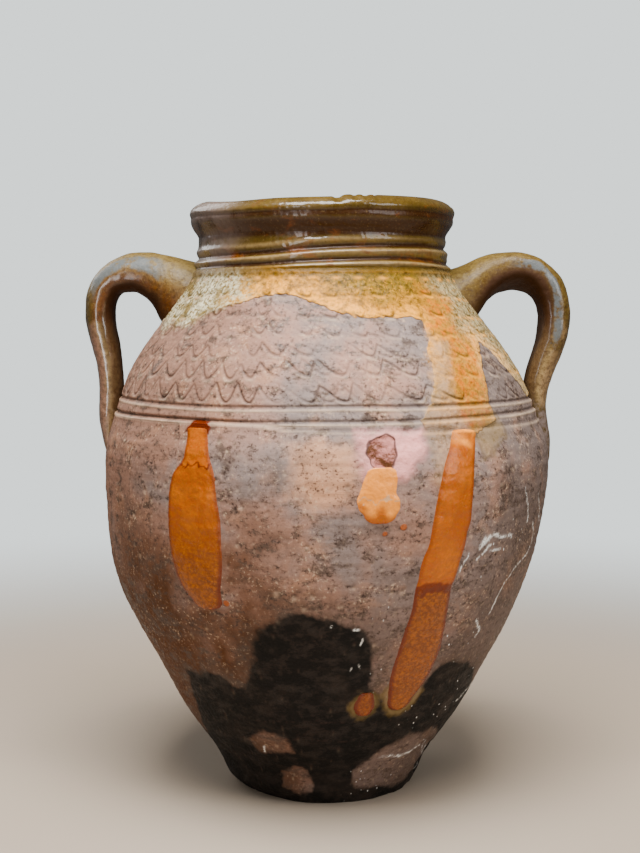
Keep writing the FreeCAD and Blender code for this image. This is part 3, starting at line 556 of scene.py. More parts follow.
def fired_clay(form, azimuth, radius, height, marked=True):
    """The jar's outer skin at the azimuths, on an outline given by its radii and heights.

    The thrown skin gets the combed waves, pits, glaze step and chips, the dip of the lip and the worn
    heel. The marks' outlines are drawn on the map of azimuth and height, whose places are first
    moved a little by noise. Returns the points and the masks by name.
    """
    degree, height = np.broadcast_arrays(wrapped(np.degrees(azimuth))[None, :], height[:, None])
    radius = np.broadcast_to(radius[:, None], degree.shape)
    plain = on_outline(degree, height, radius)
    out, cut, raised = thrown(form, degree, height, radius)
    # The mask of hollows darkens the grooves and, with the bell below the bead, the rim's cove, as painted shade
    masks = {"pooled_and_shaded": cut - raised + 0.6 * bell(height - 338.2, 2.2), "side": np.sin(np.radians(degree))}
    if marked:
        across = degree * MM_PER_DEGREE + 1.1 * ripple(plain, 15, 12) + 0.35 * ripple(plain, 4.5, 13)
        up = height + 0.9 * ripple(plain, 13, 14) + 0.35 * ripple(plain, 4, 15)

        def inside(outline):
            return np.clip(edge_distance(across, up, on_map(outline)), -MASK_REACH, MASK_REACH)

        def lines(marks):
            drawn = [bell(line_distance(across, up, on_map(line)), width) for line, width in marks]
            return np.maximum.reduce(drawn)

        for title, outlines in MARKS.items():
            masks[title] = np.maximum.reduce([inside(outline) for outline in outlines])
        masks["smoke"] = np.minimum.reduce([inside(SMOKE)] + [-inside(gap) for gap in SMOKE_GAPS])
        masks["scratch_and_glint"] = lines(SCRATCHES_AND_GLINTS)
        clouds = [dark * bell(np.hypot(wrapped(degree - place) * MM_PER_DEGREE / wide, (up - level) / tall), 1)
                  for place, level, wide, tall, dark in SMUDGES]
        masks["smudge"] = np.maximum.reduce(clouds)
        spots = [size - np.hypot(degree * MM_PER_DEGREE - place * MM_PER_DEGREE, height - level)
                 for place, level, size in AMBER_SPOTS]
        masks["amber"] = np.clip(np.maximum.reduce(spots), -MASK_REACH, MASK_REACH)
        bare = 1 - smooth_step(-0.5, 1, masks["glaze"])
        combs, burrs = combed(degree, height, radius, bare)
        pits, highlight_rims = burnt_pits(degree, height)
        turned_lines = lines(THROWING_LINES)
        foot_chip = smooth_step(-0.5, 2.0, inside(FOOT_CHIP))
        out = out + (0.4 * burrs - combs) * form.wave_depth / MM
        out = out + form.glaze_step / MM * smooth_step(-0.4, 0.9, masks["glaze"]) - 0.25 * turned_lines
        out = out - 0.55 * smooth_step(-0.3, 0.8, masks["chip"]) * (1 + 0.25 * ripple(plain, 2.6, 9))
        out = out - 1.5 * foot_chip * (1 + 0.2 * ripple(plain, 7, 16)) - 0.5 * pits
        # The tool marks and pits are darkened as painted shade
        masks["incised_shade"] = np.maximum.reduce([cut, combs, 0.6 * turned_lines, 0.9 * pits])
        # Raised edges of the grooves, combed burrs and the rims below the pits are painted pale as highlights
        ridges = raised * (1 - 0.75 * smooth_step(300, 306, height))
        masks["burr_and_highlight"] = np.maximum.reduce([ridges, (1 - 0.5 * bare) * burrs, 0.5 * highlight_rims])
    # The lip dips and is chipped; the heel is worn away at the left
    dip = smooth_through(LIP_DIP, degree) * smooth_step(344, 358, height)
    for place, width, depth in LIP_CHIPS:
        dip = dip + depth * np.exp(-((degree - place) / width) ** 4) * smooth_step(355, 359, height)
    wear_and_sheen = 4.2 * np.exp(-((degree + 58) / 42) ** 4) * np.clip(1 - height / 7, 0, 1) ** 2
    nibbled = 0.8 * np.clip(ripple(plain, 17, 10), 0, 1) * np.clip(1 - height / 5, 0, 1)
    points = on_outline(degree, height, radius + out - wear_and_sheen - nibbled)
    points[..., 2] -= dip
    return points, masks


def burnt_pits(degree, height):
    """Pits where grit burnt out, strewn and placed: bells of 0.3 to 1.6 mm, and a painted highlight on the rim
    below each.

    Each pit is only worked out on the rows and columns around it.
    """
    random = np.random.default_rng(11)
    places = np.stack([random.uniform(-180, 180, SMALL_PITS), random.uniform(5, 312, SMALL_PITS),
                       random.uniform(0.35, 1.0, SMALL_PITS) ** 3 * 0.9 + 0.3], -1)
    pits, highlight_rims = np.zeros(height.shape), np.zeros(height.shape)
    levels, columns = height[:, 0], degree[0]
    for place, level, size in np.concatenate([places, PITS]):
        rows = np.flatnonzero(np.abs(levels - level) < 5 * size)
        near = np.flatnonzero(np.abs(columns - place) * MM_PER_DEGREE < 4 * size)
        if not len(rows) or not len(near):
            continue
        window = np.ix_(rows, near)
        sideways = (columns[near] - place)[None, :] * MM_PER_DEGREE
        upwards = (levels[rows] - level)[:, None]
        for mark, below in ((pits, 0), (highlight_rims, 1.6 * size)):
            shade = bell(np.hypot(sideways, upwards + below), size) * min(1, size)
            mark[window] = np.maximum(mark[window], shade)
    return pits, highlight_rims


# Putting shapes into meshes

def loop_mesh(name, rows, ring, masks=None, normals=None):
    """A closed mesh from a grid whose rows are closed loops of points.

    As a ring its last row joins its first, and otherwise each end is drawn together to a pole at the
    middle of its row. Faces that would point inwards, by the sign of the volume, are turned.
    """
    count, columns = rows.shape[:2]
    points = rows.reshape(-1, 3)
    index = np.arange(count * columns).reshape(count, columns)
    upper = np.roll(index, -1, axis=0) if ring else index[1:]
    lower = index if ring else index[:-1]
    quads = np.stack([lower, np.roll(lower, -1, axis=1), np.roll(upper, -1, axis=1), upper], -1).reshape(-1, 4)
    triangles = np.zeros((0, 3), int)
    if not ring:
        points = np.concatenate([points, rows[0].mean(0)[None], rows[-1].mean(0)[None]])
        first, last = index[0], index[-1]
        bottom = np.stack([np.roll(first, -1), first, np.full(columns, len(points) - 2)], -1)
        top = np.stack([last, np.roll(last, -1), np.full(columns, len(points) - 1)], -1)
        triangles = np.concatenate([bottom, top])
    halves = np.concatenate([quads[:, [0, 1, 2]], quads[:, [0, 2, 3]], triangles])
    one, two, three = (points[halves[:, corner]] for corner in range(3))
    if np.einsum("ij,ij->i", one, np.cross(two, three)).sum() < 0:
        quads, triangles = quads[:, ::-1], triangles[:, ::-1]
    corners = np.concatenate([quads.ravel(), triangles.ravel()]).astype(np.int32)
    starts = np.concatenate([4 * np.arange(len(quads)), 4 * len(quads) + 3 * np.arange(len(triangles))])
    mesh = bpy.data.meshes.new(name)
    mesh.vertices.add(len(points))
    mesh.vertices.foreach_set("co", (points * MM).astype(np.float32).ravel())
    mesh.loops.add(len(corners))
    mesh.loops.foreach_set("vertex_index", corners)
    mesh.polygons.add(len(starts))
    mesh.polygons.foreach_set("loop_start", starts.astype(np.int32))
    mesh.update(calc_edges=True)
    mesh.shade_smooth()
    for title, values in (masks or {}).items():
        flat = np.zeros(len(points), np.float32)
        flat[:values.size] = values.ravel()
        mesh.attributes.new(title, "FLOAT", "POINT").data.foreach_set("value", flat)
    if normals is not None:
        every = np.zeros((len(points), 3), np.float32)
        given = normals.reshape(-1, 3)
        every[:len(given)] = given
        mesh.normals_split_custom_set_from_vertices(every)
    if mesh.validate():
        raise RuntimeError("%s had faces that Blender had to mend" % name)
    return put_in_scene(name, mesh)


def put_in_scene(name, data):
    """A new object with the data given, in the scene's own collection."""
    thing = bpy.data.objects.new(name, data)
    bpy.context.scene.collection.objects.link(thing)
    return thing


def grid_normals(points):
    """Unit normals of a grid of points: the cross product of its central differences."""
    along = np.roll(points, -1, axis=1) - np.roll(points, 1, axis=1)
    up = np.gradient(points, axis=0)
    normal = np.cross(along, up)
    return normal / np.maximum(np.linalg.norm(normal, axis=-1, keepdims=True), 1e-9)


def finish_piece(piece, material, slot, *nodes):
    """Gives a piece its material, the body that it rides on and the nodes that it replaces; the slot is not used.
    """
    piece.data.materials.append(material)
    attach(piece, "root")
    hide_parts(*nodes)
    return piece


def wall_section(name, low, high, step, material, slot, node):
    """One thrown section: its outer skin between two heights, and a plain inner skin under the lining.

    The outer skin is worked out one row past each end, so that the normals, and with them the light,
    run on into the next section.
    """
    form = bpy.context.scene.jar_form
    count = max(3, int(round((high - low) / step)) + 1)
    height = np.linspace(low, high, count)
    pitch = height[1] - height[0]
    longer = np.concatenate([[max(0, low - pitch)], height, [high + pitch]])
    azimuth = azimuths(form.columns)
    points, masks = fired_clay(form, azimuth, smooth_through(OUTLINE, longer), longer)
    normals = grid_normals(points)[1:-1]
    inner_height = np.linspace(high, low, 4)
    inner_radius = smooth_through(INSIDE, np.maximum(inner_height, FLOOR)) + SUNK
    inner = turned(azimuth, inner_radius, inner_height)
    rows = np.concatenate([points[1:-1], inner])
    inwards = -inner * (1, 1, 0) / np.maximum(np.linalg.norm(inner[..., :2], axis=-1, keepdims=True), 1)
    masks = {title: values[1:-1] for title, values in masks.items()}
    piece = loop_mesh(name, rows, True, masks, np.concatenate([normals, inwards]))
    return finish_piece(piece, material, slot, node)


def turned(azimuth, radius, height):
    """A plain turned skin from its radii and heights."""
    return on_outline(*np.broadcast_arrays(np.degrees(azimuth), height[:, None], radius[:, None]))


def spaced_along(path, values, step):
    """Lengths every step along the path's chords, and the values there on smooth curves through the given."""
    length = np.concatenate([[0], np.cumsum(np.hypot(*np.diff(path, axis=0).T))])
    at = np.linspace(0, length[-1], int(length[-1] / step) + 1)
    columns = [smooth_through(np.stack([length, column], -1), at) for column in np.transpose(values)]
    return at, np.stack(columns, -1)


def strap(name, stations, squareness, seed, material, node):
    """A pulled strap carried along its stations.

    Each section is u(t), v(t) = |cos t|^(2/n), |sin t|^(2/n) with their signs, between the outer and the
    inner point and over the width, where n is how square its side is. It is rolled about its middle, and
    seeded noise drawn out along the strap makes it uneven. The mask along runs from 0 at the root to 1 at
    the tail, across from -1 on the outer face to 1 on the inner one, and edge from -1 to 1 over the width.
    """
    stations = np.array(stations, float)
    at, sections = spaced_along((stations[:, 0:2] + stations[:, 2:4]) / 2, stations, STRAP_ROW)
    outer_x, outer_z, inner_x, inner_z, half, roll = (column[:, None] for column in sections.T)
    turn = 2 * pi * np.arange(STRAP_POINTS) / STRAP_POINTS
    inner_side = np.cos(turn) > 0
    power = 2 / np.where(inner_side, squareness, OUTER_SQUARENESS)
    thick = np.sign(np.cos(turn)) * np.abs(np.cos(turn)) ** power
    wide = np.sign(np.sin(turn)) * np.abs(np.sin(turn)) ** power
    reach_x, reach_z = (inner_x - outer_x) / 2, (inner_z - outer_z) / 2
    thickness = np.hypot(reach_x, reach_z)
    tilt = np.radians(roll)
    inwards = thick * thickness * np.cos(tilt) + wide * half * np.sin(tilt)
    sideways = wide * half * np.cos(tilt) - thick * thickness * np.sin(tilt)
    x = (outer_x + inner_x) / 2 + inwards * reach_x / thickness
    z = (outer_z + inner_z) / 2 + inwards * reach_z / thickness
    rows = np.stack([x, sideways, z], -1)
    share = np.broadcast_to(at[:, None] / at[-1], rows.shape[:2])
    lengthways = np.stack([at[:, None] * 0.12 + 0 * thick, 3 * thick + 0 * x, 3 * wide + 0 * x], -1)
    swell = (0.28 * ripple(lengthways, 5.5, seed) + 0.22 * ripple(rows, 22, seed + 1)
             + 0.06 * ripple(rows, 5, seed + 2))
    normals = grid_normals(rows)
    centre = rows.mean(1, keepdims=True)
    facing = np.sign(np.einsum("ijk,ijk->ij", normals, rows - centre).sum())
    rows = rows + facing * normals * swell[..., None]
    masks = {"along": share, "across": np.broadcast_to(thick, share.shape),
             "edge": np.broadcast_to(wide, share.shape)}
    return finish_piece(loop_mesh(name, rows, False, masks), material, "handle_glaze", node)


def glaze_drop(name, stops, crown, end, breaks, look, material, node):
    """Glaze that ran and set, a thin closed cushion on the thrown skin.

    At each height it reaches over u from -1 to 1 between its two edges. Its face stands
    t (1 - |u|^2.6)^0.55 out from the skin and its back lies 0.4 mm inside it. Over the last
    millimetres of its crown and its end the width falls as a quarter of an ellipse. Its look is four
    numbers: it is pale above the first height and deep in colour below the second, which changes over
    the third, and the fourth is how dark its rim is.
    """
    form = bpy.context.scene.jar_form
    stops = np.array(stops, float)[::-1]
    low, high = stops[0, 0], stops[-1, 0]
    whole = high - low + end + crown
    rise = np.linspace(0, 1, max(30, int(whole / RUN_ROW)))
    height = low - end + whole * (0.3 * (0.5 - 0.5 * np.cos(pi * rise)) + 0.7 * rise)
    height = height[1:-1]
    held = np.clip(height, low, high)
    left, right, thick = (smooth_through(stops[:, [0, column]], held) for column in (1, 2, 3))
    under = np.clip((low - height) / end, 0, 1)
    over = np.clip((height - high) / crown, 0, 1)
    narrowed = np.sqrt(np.maximum((1 - under ** 2) * (1 - over ** 2), 0))
    waver = 0.3 * ripple(np.stack([height, 0 * height, 0 * height + low], -1), 30, 21)
    half = (right - left) / 2 * narrowed
    face = np.linspace(-1, 1, FACE_POINTS)
    u = np.concatenate([face, np.linspace(1, -1, BACK_POINTS)[1:-1]])
    front = np.arange(len(u)) < len(face)
    degree = ((left + right) / 2 + waver)[:, None] + half[:, None] * u
    level = np.broadcast_to(height[:, None], degree.shape)
    radius = smooth_through(OUTLINE, level)
    plain = on_outline(degree, level, radius)
    out, _, _ = thrown(form, degree, level, radius)
    filled, _, _ = thrown(form, degree, level, radius, 0.2)
    out = out + (filled - out) * smooth_step(0.05, 0.4, 1 - np.abs(u)) * front
    dome = np.clip(1 - np.abs(u) ** 2.6, 0, 1) ** 0.55
    lobe = (thick * np.minimum(1, 1.5 * narrowed))[:, None] * (1 + 0.12 * ripple(plain, 12, 22))
    rows = on_outline(degree, level, radius + out + np.where(front, (lobe + 0.3) * dome - 0.3, -SUNK))
    dark = np.zeros(degree.shape)
    for place, width, strength in breaks:
        jagged = level - place - 1.3 * ripple(plain, 5, 23)
        dark = dark + strength * np.exp(-(jagged / width) ** 4)
    pale_above, deep_below, fade, edging = look
    deep = smooth_step(deep_below + fade, deep_below - fade, level + 1.3 * ripple(plain, 5, 23))
    masks = {"inwards": (1 - np.abs(u)) * half[:, None] * radius * pi / 180, "dark": dark, "deepening": deep,
             "paleness": smooth_step(pale_above - 5, pale_above + 5, level + 3 * ripple(plain, 9, 25)),
             "edging": np.maximum(edging, 0.95 * deep)}
    return finish_piece(loop_mesh(name, rows, False, masks), material, "amber_glaze", node)


# Working out finishes

class Value:
    """An output in a node tree, to reckon with. Each operation adds a node and gives its output."""

    def __init__(self, graph, socket):
        self.graph = graph
        self.socket = socket

    def __add__(self, other):
        return self.graph.math("ADD", self, other)

    def __sub__(self, other):
        return self.graph.math("SUBTRACT", self, other)

    def __mul__(self, other):
        return self.graph.math("MULTIPLY", self, other)

    def __abs__(self):
        return self.graph.math("ABSOLUTE", self)

    def most(self, other):
        return self.graph.math("MAXIMUM", self, other)

    def span(self, low, high, to_low=0.0, to_high=1.0):
        """to_low at low, to_high at high, a smooth step between the two and level beyond them."""
        return self.graph.node("ShaderNodeMapRange", dict(enumerate((self, low, high, to_low, to_high))),
                               interpolation_type="SMOOTHSTEP")

    def between(self, one, other):
        """The number that is this share of the way from one to the other."""
        return self.graph.node("ShaderNodeMix", {0: self, 2: one, 3: other}, data_type="FLOAT")

    def mixed(self, one, other):
        """The colour that is this share of the way from one to the other."""
        return self.graph.node("ShaderNodeMix", {0: self, 6: one, 7: other}, 2, data_type="RGBA")

    def ragged(self, raggedness, softness):
        """A mask with a ragged edge from a distance inside an outline, in millimetres."""
        return self.graph.group("Ragged edge", distance=self, raggedness=raggedness, softness=softness)["Mask"]


class Graph:
    """A node tree that is being filled in."""

    def __init__(self, tree):
        self.tree = tree

    def feed(self, socket, value):
        """Link a value to a socket, or set the socket's own number or colour."""
        if isinstance(value, Value):
            self.tree.links.new(value.socket, socket)
        elif socket.type == "RGBA":
            socket.default_value = (*value, 1)
        else:
            socket.default_value = value

    def node(self, kind, inputs, output=0, **settings):
        """Add a node with its settings, feed its inputs by number or name, and give one of its outputs."""
        node = self.tree.nodes.new(kind)
        for name, value in settings.items():
            setattr(node, name, value)
        for name, value in inputs.items():
            self.feed(node.inputs[name], value)
        return Value(self, node.outputs[output])

    def math(self, operation, *values):
        return self.node("ShaderNodeMath", dict(enumerate(values)), operation=operation)

    def coats(self, tone, *coats):
        """A colour under coats of others, each given as its share and its colour. The last is on top."""
        for share, colour_over in coats:
            tone = share.mixed(tone, colour_over)
        return tone

    def attribute(self, name):
        return self.node("ShaderNodeAttribute", {}, "Fac", label=name, attribute_name=name)

    def place(self):
        return self.node("ShaderNodeTexCoord", {}, "Object")

    def tall(self):
        """Height above the floor in metres."""
        return self.node("ShaderNodeSeparateXYZ", {0: self.place()}, "Z")

    def squeezed(self, vector, scale):
        return self.node("ShaderNodeMapping", {"Vector": vector, "Scale": scale})

    def noise(self, vector, size, detail=3.0, roughness=0.55, distortion=0.0):
        """Cloudy noise from 0 to 1 with patches of the size given, in metres."""
        return self.node("ShaderNodeTexNoise", {"Vector": vector, "Scale": 1 / size, "Detail": detail,
                                                "Roughness": roughness, "Distortion": distortion}, "Fac")

    def cells(self, vector, size):
        """Distance from the middle of the nearest of many cells, with the size given in metres as 1."""
        return self.node("ShaderNodeTexVoronoi", {"Vector": vector, "Scale": 1 / size}, "Distance")

    def bump(self, height, strength, distance):
        return self.node("ShaderNodeBump", {"Height": height, "Strength": strength, "Distance": distance})

    def group(self, name, **inputs):
        """Use a shader node group, which is built the first time, and give its outputs by name."""
        node = self.tree.nodes.new("ShaderNodeGroup")
        node.node_tree = bpy.data.node_groups.get(name) or new_group(name)
        for title, value in inputs.items():
            self.feed(node.inputs[title.capitalize()], value)
        return {output.name: Value(self, output) for output in node.outputs}


def ragged_edge(graph, given):
    """Turns a distance from an outline, in millimetres, into a mask with a ragged edge."""
    place = graph.place()
    fine = graph.noise(place, 0.005, 5, 0.62) - 0.5
    broad = graph.noise(place, 0.02, 3, 0.55) - 0.5
    moved = (fine * 1.6 + broad * 2.4) * given["Raggedness"] + given["Distance"]
    return {"Mask": moved.span(given["Softness"] * -0.5, given["Softness"] * 0.5)}


def clay_grain(graph, given):
    """Sandy grain of the clay body, which also shows through the glaze: specks, grit and a fine height."""
    place = graph.node("ShaderNodeVectorMath", {0: graph.place(), "Scale": given["Size"]}, operation="SCALE")
    grit = graph.noise(place, 0.0016, 4, 0.7)
    streak = graph.noise(graph.squeezed(place, (0.22, 0.22, 3.2)), 0.009, 4, 0.6)
    specks = graph.cells(place, 0.0042).span(0.16, 0.05) * graph.noise(place, 0.018, 3).span(0.42, 0.62)
    return {"Specks": specks, "Grit": grit, "Streaks": streak, "Height": grit * 0.5 + streak * 0.6}


def glaze_speckle(graph, given):
    """Uneven fired glaze: cloudy patches, olive speckle, pale flecks of painted sparkle and a fine height."""
    place = graph.node("ShaderNodeVectorMath", {0: graph.place(), "Scale": given["Size"]}, operation="SCALE")
    fine = graph.noise(place, 0.0024, 4, 0.72)
    return {"Cloud": graph.noise(place, 0.02, 4, 0.6, 0.4), "Speckle": fine.span(0.42, 0.66),
            "Glitter": graph.noise(place, 0.0013, 3, 0.8).span(0.56, 0.68),
            "Height": fine * 0.4 + graph.noise(place, 0.007, 2)}


# Shader node groups: the function that fills each one in, and its inputs with their defaults
NODE_GROUPS = {
    "Ragged edge": (ragged_edge, {"Distance": 0.0, "Raggedness": 1.5, "Softness": 1.0}),
    "Clay grain": (clay_grain, {"Size": 1.0}),
    "Glaze speckle": (glaze_speckle, {"Size": 1.0}),
}


def new_group(name):
    """A shader node group with its named inputs, filled in by its function, and its named outputs."""
    fill, inputs = NODE_GROUPS[name]
    tree = bpy.data.node_groups.new(name, "ShaderNodeTree")
    graph = Graph(tree)
    for title, default in inputs.items():
        tree.interface.new_socket(title, in_out="INPUT", socket_type="NodeSocketFloat").default_value = default
    entry = tree.nodes.new("NodeGroupInput").outputs
    results = fill(graph, {title: Value(graph, entry[title]) for title in inputs})
    for title in results:
        tree.interface.new_socket(title, in_out="OUTPUT", socket_type="NodeSocketFloat")
    leaving = tree.nodes.new("NodeGroupOutput").inputs
    for title, value in results.items():
        graph.feed(leaving[title], value)
    return tree


def material_of(name, look, **details):
    """The material of this name, made the first time with the shader inputs that its look gives."""
    if name in bpy.data.materials:
        return bpy.data.materials[name]
    material = bpy.data.materials.new(name)
    material.use_nodes = True
    graph = Graph(material.node_tree)
    shader = next(node for node in material.node_tree.nodes if node.type == "BSDF_PRINCIPLED")
    for title, value in look(graph, **details).items():
        graph.feed(shader.inputs[title], value)
    return material


def body_look(graph):
    """Bare clay with its smoke, marks and scratches, and the glaze down to its ragged edge, with painted shade,
    painted highlights, painted glints and painted sparkle.
    """
    clay, tint = bpy.context.scene.jar_clay, bpy.context.scene.jar_glaze
    place, tall = graph.place(), graph.tall()
    grain, speckle = graph.group("Clay grain"), graph.group("Glaze speckle")
    side, depth, soot, burr_and_highlight, incised_shade, film, chip = (graph.attribute(title) for title in (
        "side", "glaze", "smoke", "burr_and_highlight", "incised_shade", "film", "chip"))
    broad = graph.noise(place, 0.055, 4, 0.6, 0.5)
    cloud = graph.noise(place, 0.021, 6, 0.66, 0.3)
    blotch = graph.noise(graph.squeezed(place, (1, 1, 1.6)), 0.010, 6, 0.7)
    mottle = graph.noise(place, 0.0052, 5, 0.7)
    fleck = graph.noise(place, 0.0019, 3, 0.65)
    shift = broad - 0.5

    # Bare clay, pink where the fire was clean and grey where it wasn't. On the left and low down it is
    # browner clay with painted shade darkening it further, and the right flank has painted shade in umber
    downwards = (shift * 0.1 + tall).span(0.24, 0.09)
    left = (shift * 1.4 + side).span(-0.1, -0.75, 0.0, 0.9)
    browned_and_shaded = (left * downwards + downwards * 0.4).most(left * 0.45)
    pink = graph.attribute("pink").ragged(4.0, 14.0)
    smudge = graph.attribute("smudge") * graph.noise(place, 0.006, 6, 0.72).span(0.36, 0.6)
    specks = fleck.span(0.55, 0.63) * blotch.span(0.4, 0.6, 0.15, 0.85)
    base = graph.coats(
        (side * 0.16 + broad).span(0.38, 0.62, 0.1, 0.9).mixed(clay.pink, clay.grey),
        (cloud.span(0.5, 0.7, 0.0, 0.4), clay.ochre),
        (browned_and_shaded, clay.brown),
        ((shift * 0.8 + side).span(0.5, 0.95, 0.0, 0.5), clay.umber),
        (pink * 0.75, clay.ochre),
        (grain["Streaks"].span(0.46, 0.72, 0.0, 0.12), clay.umber),
        (blotch.span(0.49, 0.64, 0.0, 0.8) * pink.span(0, 1, 1, 0.4), clay.umber),
        (smudge, clay.umber),
        (specks, clay.incised_shade),
        (fleck.span(0.42, 0.34) * cloud.span(0.42, 0.62, 0.1, 0.5), clay.burr_and_highlight),
        (grain["Specks"] * 0.7, clay.incised_shade))

    # Smoke, painted shade towards the floor, tool marks and pits with painted shade in them and painted
    # highlights on their raised edges, the lavender halo lightened as a painted highlight, films round the
    # runs, the chip, and the scratches with painted glints
    sooty = soot.span(-20, 3) * cloud.span(0.34, 0.6, 0.15, 0.8)
    smoked = cloud.span(0.46, 0.7, 0.0, 0.18).mixed(clay.smoke, clay.umber)
    smoke = soot.ragged(2.0, 4.2)
    halo = graph.attribute("halo").ragged(2.0, 8.0)
    # Painted glints: white dots strewn over a patch of the right flank
    glint_patch = graph.noise(place, 0.024, 3).span(0.5, 0.6) * side.span(0.15, 0.45) * tall.span(0.2, 0.17)
    dots = graph.cells(graph.squeezed(place, (1, 1, 0.45)), 0.0036).span(0.14, 0.06)
    scratch_and_glint = (graph.attribute("scratch_and_glint") * grain["Grit"].span(0.42, 0.5)).most(dots * glint_patch)
    base = graph.coats(
        base,
        # Painted shade: darker towards the floor, over the soot
        (sooty.most(tall.span(0.06, 0.0, 0.0, 0.5)), clay.umber),
        (smoke * blotch.span(0.62, 0.45, 0.88, 0.99), smoked),
        (incised_shade * 0.66, clay.incised_shade),
        (burr_and_highlight * cloud.span(0.3, 0.6, 0.25, 0.65) * smoke.span(0, 1, 1, 0.2), clay.burr_and_highlight),
        (halo * cloud.span(0.35, 0.6, 0.85, 0.45), clay.halo),
        (film.ragged(3.0, 6.0) * 0.55, tint.ridge),
        (abs(film).span(1.4, 0.2, 0.0, 0.3), tint.strap),
        (chip.ragged(0.5, 0.6), blotch.span(0.42, 0.6).mixed(clay.chip, clay.brown)),
        (abs(chip).span(0.9, 0.2) * 0.8, clay.incised_shade),
        (scratch_and_glint, clay.scratch_and_glint))

    # Glaze, peach at its edge, honey further in and olive under the neck, tan and creamy on the left, with
    # painted sparkle in pale flecks and crystals, painted highlights on the raised edges and painted shade
    # with pooled glaze in the tool marks
    deep = (cloud - 0.5) * 26.0 + depth
    near = graph.coats(side.span(-0.35, -0.7).mixed(tint.peach, tint.tan),
                       (tall.span(0.27, 0.245, 0.0, 0.85), tint.tan))
    middle = side.span(-0.35, -0.68).mixed(tint.honey, tint.tan)
    crystals_and_sparkle = side.span(-0.34, -0.62) * cloud.span(0.38, 0.55)
    # Pale colour of the painted sparkle and of the painted highlights on the burrs
    glint = side.span(-0.3, -0.6).mixed(tint.peach, tint.pale)
    hot = graph.coats(mottle.span(0.4, 0.56).mixed(tint.orange, tint.honey),
                      (speckle["Speckle"].span(0.2, 0.9, 0.0, 0.4), tint.russet))
    thin = graph.attribute("thin").ragged(5.0, 8.0)
    tone = graph.coats(
        deep.span(2.0, 12.0).mixed(near, middle),
        (deep.span(6.0, 19.0) * side.span(-0.4, 0.3, 0.2, 1.0) * 0.85, tint.olive),
        ((shift * 0.6 + side).span(0.62, 0.9, 0.0, 0.45), tint.cream),
        (mottle.span(0.5, 0.64, 0.0, 0.7), tint.strap),
        (speckle["Speckle"] * deep.span(0, 16, 0.3, 0.9), tint.strap),
        (speckle["Glitter"] * 0.7, glint),
        (crystals_and_sparkle * fleck.span(0.6, 0.44), tint.cream),
        (graph.attribute("orange").ragged(7.0, 16.0) * mottle.span(0.36, 0.7, 1.0, 0.6), hot),
        (thin * mottle.span(0.4, 0.6, 0.75, 0.3), tint.pale),
        (abs(depth).span(1.3, 0.2, 0.0, 0.2), tint.pale),
        ((shift * 0.006 + tall).span(0.308, 0.3185, 0.0, 0.85), tint.strap),
        (burr_and_highlight * 0.7, glint),
        (incised_shade * 0.8, tint.strap))
    leftwards = side.span(-0.45, -0.78)
    glaze = depth.ragged(leftwards.between(0.45, 4.0), leftwards.between(0.7, 9.0))
    glazed = (glaze * thin.span(0, 1, 1, 0.8)).most(thin * 0.62) * tall.span(0.228, 0.252, 0.55, 1.0)
    cap = graph.attribute("cap").ragged(1.0, 1.5).most(graph.attribute("amber").ragged(0.5, 0.8) * 0.7)
    base = graph.coats(base, (glazed, tone), (cap, tall.span(0.2, 0.226).mixed(tint.amber, tint.amber_edge)))

    glassy = glazed.most(cap).most(halo * 0.9)
    height = grain["Height"] * glassy.between(1.0, 0.4) + speckle["Height"] * (glassy * 5.0) - specks * 0.35
    clay_rough, glaze_rough = grain["Grit"].span(0.3, 0.7, 0.48, 0.72), mottle.span(0.35, 0.65, 0.12, 0.26)
    return {"Base Color": base, "Roughness": glassy.between(clay_rough, glaze_rough), "Specular IOR Level": 0.08,
            "Coat Weight": glassy.between(blotch.span(0.45, 0.7, 0.0, 0.2), 0.05), "Coat Roughness": 0.17,
            "Normal": graph.bump(height, 0.6, 0.0006)}


def rim_look(graph):
    """Glossy honey-brown glaze of the neck and rim: dark where it pooled, with painted shade in the grooves and
    the cove under the bead, tan on the ridges, worn on the left.
    """
    tint = bpy.context.scene.jar_glaze
    pooled_and_shaded = graph.attribute("pooled_and_shaded")
    speckle = graph.group("Glaze speckle")
    cloud = speckle["Cloud"]
    patch = graph.noise(graph.squeezed(graph.place(), (1, 1, 2.2)), 0.02, 4, 0.6, 0.6)
    tone = graph.coats(
        cloud.span(0.35, 0.65).mixed(tint.strap, tint.rim),
        (pooled_and_shaded.span(0.0, -0.8), tint.ridge),
        (pooled_and_shaded.span(-0.05, 0.6, 0.0, 0.95), tint.pooled_and_shaded),
        (patch.span(0.55, 0.7, 0.0, 0.55), tint.russet),
        (speckle["Speckle"] * 0.35, tint.pooled_and_shaded),
        (speckle["Glitter"] * 0.25, tint.ridge),
        (graph.attribute("side").span(-0.45, -0.85) * cloud.span(0.3, 0.6) * 0.8, tint.bare_tail))
    return {"Base Color": tone, "Roughness": cloud.span(0.3, 0.7, 0.22, 0.4), "Specular IOR Level": 0.25,
            "Coat Weight": pooled_and_shaded.span(0.2, 0.8, 0.5, 0.03), "Coat Roughness": 0.05,
            "Normal": graph.bump(speckle["Height"], 0.4, 0.0005)}


